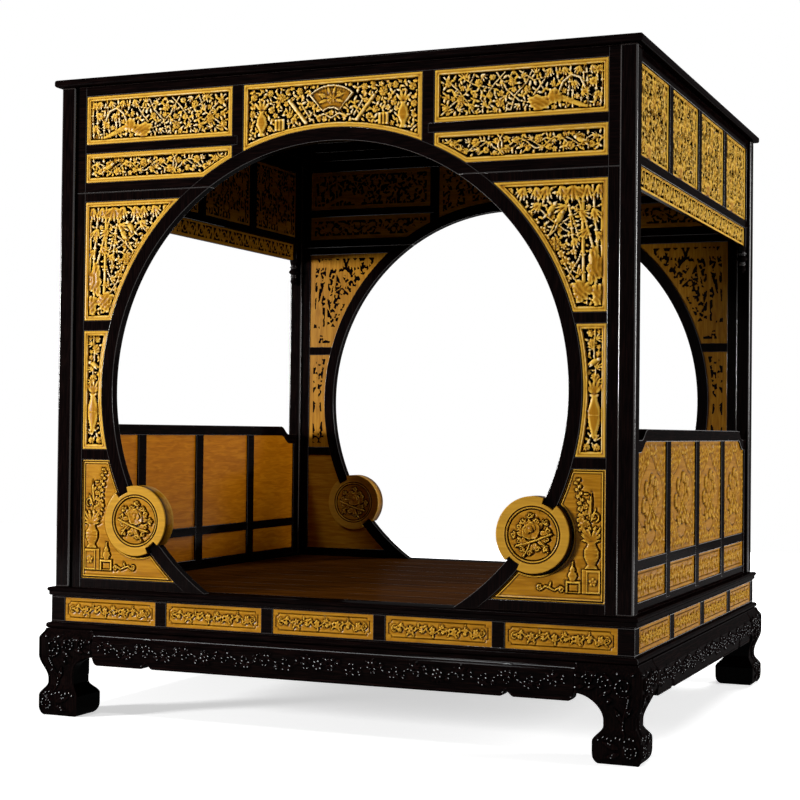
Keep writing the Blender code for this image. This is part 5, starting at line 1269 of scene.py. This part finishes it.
def carve_tall_board():
    """A lobed cartouche cut as a line, flowers sunk in its middle, and low foliage over the corners."""
    half_bay = RAILING_BAY / 2 + 0.002
    wood = uncut(*np.meshgrid(np.linspace(-half_bay, half_bay, 90), np.linspace(BOARD_FOOT, BOARD_HEAD, 86)))
    share = (wood.v - 0.215) / 0.305
    stops = [0.0, 0.03, 0.08, 0.14, 0.20, 0.23, 0.34, 0.50, 0.66, 0.76, 0.79, 0.84, 0.92, 1.0]
    widths = [0.0, 0.22, 0.36, 0.43, 0.45, 0.66, 0.92, 1.0, 0.92, 0.72, 0.55, 0.40, 0.22, 0.0]
    lobes = np.interp(share, stops, widths)
    half = np.where((share > 0) & (share < 1), 0.176 * lobes, -0.02)
    inside = (half - np.abs(wood.u)) / np.sqrt(1 + np.gradient(half, wood.v[:, 0], axis=0) ** 2)
    into = np.minimum.reduce([half_bay - np.abs(wood.u), wood.v - BOARD_FOOT, BOARD_HEAD - wood.v])
    lay_stem(wood, [(-0.050, 0.290), (-0.010, 0.330), (0.030, 0.360), (0.055, 0.415)], 0.006, 0.0005, 0.0035)
    lay_stem(wood, [(0.060, 0.290), (0.020, 0.325), (-0.040, 0.360), (-0.070, 0.400)], 0.006, 0.0005, 0.0035)
    for u, v, angle in ((-0.062, 0.402, 2.3), (0.058, 0.412, 1.0), (0.086, 0.372, 0.2), (-0.094, 0.352, 3.2),
                        (0.010, 0.425, 1.5), (-0.055, 0.288, 4.2), (0.066, 0.292, 5.2), (0.004, 0.296, 4.7)):
        lay_cluster(wood, (u, v), angle, 4, 0.030, 0.0005, 0.004)
    for u, v, r in ((-0.016, 0.385, 0.036), (0.052, 0.345, 0.030), (-0.062, 0.340, 0.027)):
        lay_peony(wood, (u, v), r, 0.001, 0.006, 9 * u)
    sink_ground(wood, 0.0030, 0.009)
    wood.edge = np.maximum(0.012 - into, -0.03)
    outside = (inside < -0.008) & (into > 0.012)
    fill_with_leaves(wood, outside, 0.0075, np.random.default_rng(5), (0.014, 0.024), 0.05, 0.0, 0.0012)
    wood.lift -= 0.0034 * np.exp(-((inside / 0.0030) ** 2))
    from_rail = np.minimum(wood.v - BOARD_FOOT, BOARD_HEAD - wood.v)
    wood.lift -= 0.0022 * np.exp(-(((from_rail - 0.016) / 0.0026) ** 2))
    return wood


u = np.linspace(-SIDE_END, SIDE_END, 150)
handrail = [np.stack([u, stepped(u, *line)], axis=-1) for line in ((0.565, STEP_END), (0.607, 0.853))]
railing = [slab(*handrail, -0.017, 0.017)]
railing += [bar(-0.92, 0.92, v0, v1, -0.0165, 0.0165) for v0, v1 in ((0.0, 0.036), (0.139, 0.176))]
for u0, u1 in ((-SIDE_END, -RAILING_END), (RAILING_END, SIDE_END)):
    railing.append(bar(u0, u1, 0.0, 0.545, -0.0168, 0.0168))
railing += [bar(u1 - RAILING_MUNTIN, u1, 0.02, 0.58, -0.0167, 0.0167) for u1 in railing_starts[1:]]
tall, small = carve_tall_board(), carve_vine_board(RAILING_BAY + 0.004, 0.107, 0.0042)
boarding, linings, dips = [], [], []
for middle in railing_starts + RAILING_BAY / 2:
    u = tall.u + middle
    rise = (tall.v - BOARD_FOOT) / (BOARD_HEAD - BOARD_FOOT)
    v = BOARD_FOOT + rise * (stepped(u, BOARD_HEAD, STEP_END) - BOARD_FOOT)
    for board, u, v in ((tall, u, v), (small, small.u + middle, small.v + 0.0875)):
        boarding.append(board_of(u, v, board.lift + 0.010, -0.004))
        # Painted shade in the cuts of each board, and a painted highlight on its ridges.
        dips.append(np.append(hollows(board.lift, 3, 0.006), np.zeros(len(boarding[-1][0]) - board.u.size)))
    u = np.linspace(-0.206, 0.206, 24) + middle
    rims = [np.stack([u, line], axis=-1) for line in (np.full_like(u, 0.1742), stepped(u, 0.5668, STEP_END))]
    linings += [slab(*rims, -0.0095, -0.005), bar(u[0], u[-1], 0.0345, 0.1408, -0.0095, -0.005)]
PALE_GOLD = ("#a05c06", "#ae6709", "#bc740f", "#160a01", "#ecc468")
plain_boards = nanmu("nanmu, plain boards", (1.0, 0.12, 1.0), PALE_GOLD)
for side in ("left", "right"):
    piece(f"railing_frame_{side}", set_in(side, railing, SIDE_OUT, SEAT), rosewood_along_y,
          f"railing_{side}", bevel=EASED)
    piece(f"railing_boards_{side}", set_in(side, boarding, SIDE_OUT, SEAT), nanmu_along_y,
          hollow=np.concatenate(dips))
    piece(f"railing_inner_boards_{side}", set_in(side, linings, SIDE_OUT, SEAT), plain_boards)

# Side friezes. Under the canopy on both sides, a rosewood frame with four openwork boards of nanmu, a band of
# scrolls hung below it, and a turned pendant at each end. Like the gates, they have a dark sheet in their
# thickness that stands in for shade behind the openwork.
FRIEZE_BAY, FRIEZE_MUNTIN, FRIEZE_END = 0.4185, 0.050, 0.912
BAND_END, BAND_FOOT, BAND_HEAD, FRIEZE_FOOT, FRIEZE_HEAD = 0.887, 1.4055, 1.4755, 1.5095, 1.8175
SHADE_SHEET_NEAR, SHADE_SHEET_FAR, SHADE_SHEET_LAP, OPENWORK_BACK = -0.0035, -0.0015, 0.003, -0.006
frieze_starts = -FRIEZE_END + np.arange(4) * (FRIEZE_BAY + FRIEZE_MUNTIN)


def carve_side_frieze(wood, start):
    """Bamboo and branches in flower from the foot of the board to its top, with a bird among them."""
    for k, share in enumerate((0.10, 0.24, 0.42, 0.62, 0.80, 0.92)):
        sway = (-1) ** k
        foot, top = (start + share * FRIEZE_BAY, 1.515), (start + (share + 0.05 * sway) * FRIEZE_BAY, 1.812)
        lay_bamboo(wood, foot, top, 0.010, 0.008 * sway)
        lay_spray(wood, (top[0], 1.80), -1.57 + 0.5 * sway, 5, 0.07)
        lay_spray(wood, (top[0], 1.72), -1.57 - 0.7 * sway, 5, 0.06)
    for share, v, r in ((0.17, 1.56, 0.024), (0.33, 1.63, 0.026), (0.52, 1.57, 0.022), (0.70, 1.64, 0.026),
                        (0.86, 1.57, 0.024), (0.52, 1.72, 0.024), (0.14, 1.68, 0.020), (0.88, 1.70, 0.020)):
        lay_peony(wood, (start + share * FRIEZE_BAY, v), r, 0.004, 0.008, share * 20)
    lay_rock(wood, (start + 0.34 * FRIEZE_BAY, 1.545), (0.045, 0.026), 0.8, 0.004, 0.008, start)
    lay_bird(wood, (start + 0.30 * FRIEZE_BAY, 1.70), 0.6, 0.05)


def side_panel(low, high, carve, border, gap, step):
    """An openwork board between two corners, with a flat border of a given width grooved near its edge."""
    spans = [np.arange(a - 0.006, b + 0.006 + step, step) for a, b in zip(low, high)]
    wood = uncut(*np.meshgrid(*spans))
    into = np.minimum.reduce([wood.u - low[0], high[0] - wood.u, wood.v - low[1], high[1] - wood.v])
    wood.edge = np.maximum(wood.edge, border - into)
    carve(wood)
    fill_with_leaves(wood, into > border, gap, np.random.default_rng(7), base=0.003)
    wood.edge = np.minimum(into + 0.005, np.maximum(border - into, wood.edge))
    flat = 0.010 - 0.0025 * np.exp(-(((into - 0.6 * border) / 0.002) ** 2))
    wood.lift = np.where(into < border, flat, wood.lift)
    # Painted shade that deepens the lower the wood lies, a painted highlight on the ridges and faint painted
    # glints.
    return wood, hollows(wood.lift, least=-1.3) + 0.18 * np.clip(1 - wood.lift / 0.006, 0.0, 1.0)


def carve_band(wood):
    """Pairs of scrolls turned towards each other, with a leaf from every meeting point."""
    middle = 1.4405
    for k, u in enumerate(np.arange(-0.84, 0.85, 0.07)):
        way = 1 if k % 2 == 0 else -1
        bow = [(u - 0.035, middle - way * 0.028), (u, middle + way * 0.026),
               (u + 0.035, middle - way * 0.028)]
        lay_stem(wood, curl((u, middle), 0.026, way * np.pi / 2, 1.35, 22), 0.008, 0.004, 0.005, 0.7)
        lay_stem(wood, bow, 0.007, 0.004, 0.004)
        lay_leaf(wood, (u - 0.035, middle - way * 0.03), way * np.pi / 2, 0.05, 0.018, 0.004, 0.005)


frieze = [bar(-SIDE_END, SIDE_END, v0, v1, -0.017, 0.017)
          for v0, v1 in ((FRIEZE_HEAD, GATE_TOP), (BAND_HEAD, FRIEZE_FOOT))]
for u0, u1 in ((-SIDE_END, -FRIEZE_END), (FRIEZE_END, SIDE_END)):
    frieze.append(bar(u0, u1, 1.49, 1.83, -0.0168, 0.0168))
frieze += [bar(u1 - FRIEZE_MUNTIN, u1, 1.49, 1.83, -0.0167, 0.0167) for u1 in frieze_starts[1:]]
openwork, shade_sheets = [], [bar(-0.884, 0.884, 1.4085, 1.4785, SHADE_SHEET_NEAR, SHADE_SHEET_FAR)]
for start in frieze_starts:
    low, high = np.array((start, FRIEZE_FOOT)), np.array((start + FRIEZE_BAY, FRIEZE_HEAD))
    carved = side_panel(low, high, lambda wood: carve_side_frieze(wood, start), 0.012, 0.0064, 0.0040)
    openwork.append(cut_out(*carved, OPENWORK_BACK))
    (u0, v0), (u1, v1) = low - SHADE_SHEET_LAP, high + SHADE_SHEET_LAP
    shade_sheets.append(bar(u0, u1, v0, v1, SHADE_SHEET_NEAR, SHADE_SHEET_FAR))
band = side_panel((-BAND_END, BAND_FOOT), (BAND_END, BAND_HEAD), carve_band, 0.008, 0.0068, 0.0036)
openwork.append(cut_out(*band, OPENWORK_BACK))


def pendant(u):
    """A turned pendant: a radius for each height, from the rail down over a neck and two rings to a bud."""
    stops = [(1.2835, 0.003), (1.287, 0.009), (1.300, 0.0165), (1.318, 0.0125), (1.324, 0.0165),
             (1.330, 0.0125), (1.345, 0.0235), (1.362, 0.0145), (1.368, 0.0195), (1.374, 0.0145),
             (1.400, 0.0195), (1.440, 0.0215), (1.480, 0.0215)]
    rows, columns = 90, 32
    v = np.linspace(stops[0][0], stops[-1][0], rows)[:, None]
    r = eased(v, stops)
    angle = np.linspace(0.0, 2 * np.pi, columns, endpoint=False)
    along, out = u + r * np.sin(angle), r * np.cos(angle)
    points = np.stack([along, np.broadcast_to(v, along.shape), out], axis=-1)
    return points.reshape(-1, 3), tube(rows, columns)


frieze += [pendant(u) for u in (-0.9165, 0.9165)]
for side in ("left", "right"):
    piece(f"side_frieze_frame_{side}", set_in(side, frieze, SIDE_OUT, SEAT), rosewood_along_y,
          f"side_frieze_{side}", bevel=EASED)
    # The dark sheets that stand in for shade behind the openwork.
    piece(f"side_frieze_linings_{side}", set_in(side, shade_sheets, SIDE_OUT, SEAT), rosewood_along_y)
    for number, (part, dip) in enumerate(openwork, 1):
        piece(f"side_frieze_openwork_{side}_{number}", set_in(side, [part], SIDE_OUT, SEAT), nanmu_along_y,
              hollow=dip)

# Canopy. A flat rosewood cornice mitred round the top of the posts, its outer edges rounded. Boards lie
# between its sides along the bed, on battens that divide the ceiling into six bays.
CANOPY_TOP, CORNICE_ROUND, CEILING_FOOT, CEILING_TOP = 2.358, 0.009, 2.3393, 2.3492
cornice = [(RAIL_IN, POST_TOP), (RAIL_IN, CANOPY_TOP), *half_round(0.011, 2.349, CORNICE_ROUND, 90, 0, 6),
           *half_round(0.011, 2.3395, CORNICE_ROUND, 0, -90, 6)]
parts = []
for side, half in HALF_LENGTH.items():
    parts += set_in(side, [moulding(cornice, half)], POST_OUT[side])
piece("canopy_cornice", parts, rosewood_along_x, "canopy_frame")
CEILING_X, CEILING_Y, CEILING_BOARDS = 0.9997, 0.8997, 8
BATTEN, BATTEN_FOOT, BATTEN_TOP = 0.050, 2.3283, 2.3400
CROSS_FOOT, CROSS_LAP = 2.3287, 0.003
ceiling = boards_between(CEILING_X, CEILING_Y, CEILING_BOARDS, CEILING_FOOT, CEILING_TOP)
long_starts = np.linspace(-CEILING_Y, CEILING_Y - BATTEN, 3)
ceiling += [bar(-CEILING_X, CEILING_X, v0, v0 + BATTEN, BATTEN_FOOT, BATTEN_TOP) for v0 in long_starts]
for u0 in np.linspace(-CEILING_X, CEILING_X - BATTEN, 4):
    for v0, v1 in zip(long_starts, long_starts[1:]):
        ceiling.append(bar(u0, u0 + BATTEN, v0 + BATTEN - CROSS_LAP, v1 + CROSS_LAP, CROSS_FOOT, BATTEN_TOP))
piece("canopy_boards", set_in("top", ceiling), rosewood_along_x, "canopy_ceiling", bevel=EASED)

# Studio. A pale matt floor that runs out to white, and a white background. Soft lights stand at the left, at
# the right, above and behind, low enough to leave the canopy's inside dark. The camera is the photograph's.
scene = bpy.context.scene
scene.view_settings.view_transform = "Standard"
FLOOR_HALF, FLOOR_SEEN, FLOOR_BOUNCE, ROOM_LIGHT = 9.0, "#f4f4f4", "#484848", 0.05
WHITE_FROM, WHITE_TO, WHITE_LEAST = 2.5, 5.5, 0.6
WHITE = (1.0, 1.0, 1.0, 1.0)


def plainly_seen(tree):
    """1 for rays from the camera, a reflection or through glass, and 0 for those that only bring light."""
    rays = add(tree, "LightPath").outputs
    seen = rays["Is Camera Ray"]
    for kind in ("Is Glossy Ray", "Is Transmission Ray"):
        seen = add(tree, "Math", {0: seen, 1: rays[kind]}, operation="MAXIMUM").outputs[0]
    return seen


floor_mesh = bpy.data.meshes.new("floor")
corners = [(x * FLOOR_HALF, y * FLOOR_HALF, 0) for x, y in ((-1, -1), (1, -1), (1, 1), (-1, 1))]
floor_mesh.from_pydata(corners, [], [(0, 1, 2, 3)])
floor = bpy.data.objects.new("floor", floor_mesh)
scene.collection.objects.link(floor)
# Near white to the camera, with the bed's shadow on it, but grey to bounced light: undersides stay dark.
pale = bpy.data.materials.new("pale studio floor")
pale.use_nodes = True
tree = pale.node_tree
shader = tree.nodes["Principled BSDF"]
bounce = add(tree, "LightPath").outputs["Is Diffuse Ray"]
place = add(tree, "TexCoord").outputs["Object"]
out = add(tree, "VectorMath", {0: place}, operation="LENGTH").outputs["Value"]
white = ranged(tree, out, WHITE_FROM, WHITE_TO, WHITE_LEAST)
glow = add(tree, "Math", {0: plainly_seen(tree), 1: white}, operation="MULTIPLY").outputs[0]
tree.links.new(blend(tree, bounce, linear(FLOOR_SEEN), linear(FLOOR_BOUNCE)), shader.inputs["Base Color"])
tree.links.new(glow, shader.inputs["Emission Strength"])
for socket, value in (("Roughness", 0.9), ("Specular IOR Level", 0.0), ("Emission Color", WHITE)):
    shader.inputs[socket].default_value = value
floor_mesh.materials.append(pale)
world = bpy.data.worlds.new("white studio")
scene.world = world
world.use_nodes = True
tree = world.node_tree
background = tree.nodes["Background"]
background.inputs["Color"].default_value = WHITE
tree.links.new(ranged(tree, plainly_seen(tree), 0.0, 1.0, ROOM_LIGHT), background.inputs["Strength"])


def soft_light(name, place, strength, spread, mirrored=True):
    """A round soft light that faces the bed and looks as wide from it as spread, in degrees.

    strength is what reaches the bed. A light that isn't mirrored leaves no bright spot on lacquer.
    """
    away = Vector(place)
    lamp = bpy.data.lights.new(name, "AREA")
    lamp.shape = "DISK"
    lamp.size = 2 * away.length * math.tan(math.radians(spread / 2))
    lamp.energy = strength * math.pi * away.length_squared
    light = bpy.data.objects.new(name, lamp)
    light.matrix_world = Matrix.Translation(place) @ away.to_track_quat("Z", "Y").to_matrix().to_4x4()
    light.visible_camera = False
    light.visible_glossy = mirrored
    scene.collection.objects.link(light)


soft_light("key light from the left", (-6.4, -6.4, 2.0), 3.7, 9.0)
soft_light("fill light from the right", (9.6, 1.1, 2.4), 2.2, 16.0)
soft_light("light from above", (-2.6, -6.2, 7.6), 0.45, 5.0)
soft_light("light from behind", (2.0, 9.6, 5.4), 2.0, 16.0, False)
CAMERA_AT, CAMERA_TURN = (2.4600, -6.2688, 1.0626), (22.480, 1.072, 0.6287)
yaw, pitch, roll = (math.radians(angle) for angle in CAMERA_TURN)
ahead = Vector((-math.sin(yaw) * math.cos(pitch), math.cos(yaw) * math.cos(pitch), math.sin(pitch)))
level_right = Vector((math.cos(yaw), math.sin(yaw), 0.0))
level_up = level_right.cross(ahead)
right = level_right * math.cos(roll) + level_up * math.sin(roll)
above = level_up * math.cos(roll) - level_right * math.sin(roll)
lens = bpy.data.cameras.new("camera")
lens.lens = 75.27
lens.sensor_width = 36.0
lens.clip_end = 60.0
camera = bpy.data.objects.new("camera", lens)
facing = Matrix((right, above, -ahead)).transposed().to_4x4()
camera.matrix_world = Matrix.Translation(CAMERA_AT) @ facing
scene.collection.objects.link(camera)
scene.camera = camera
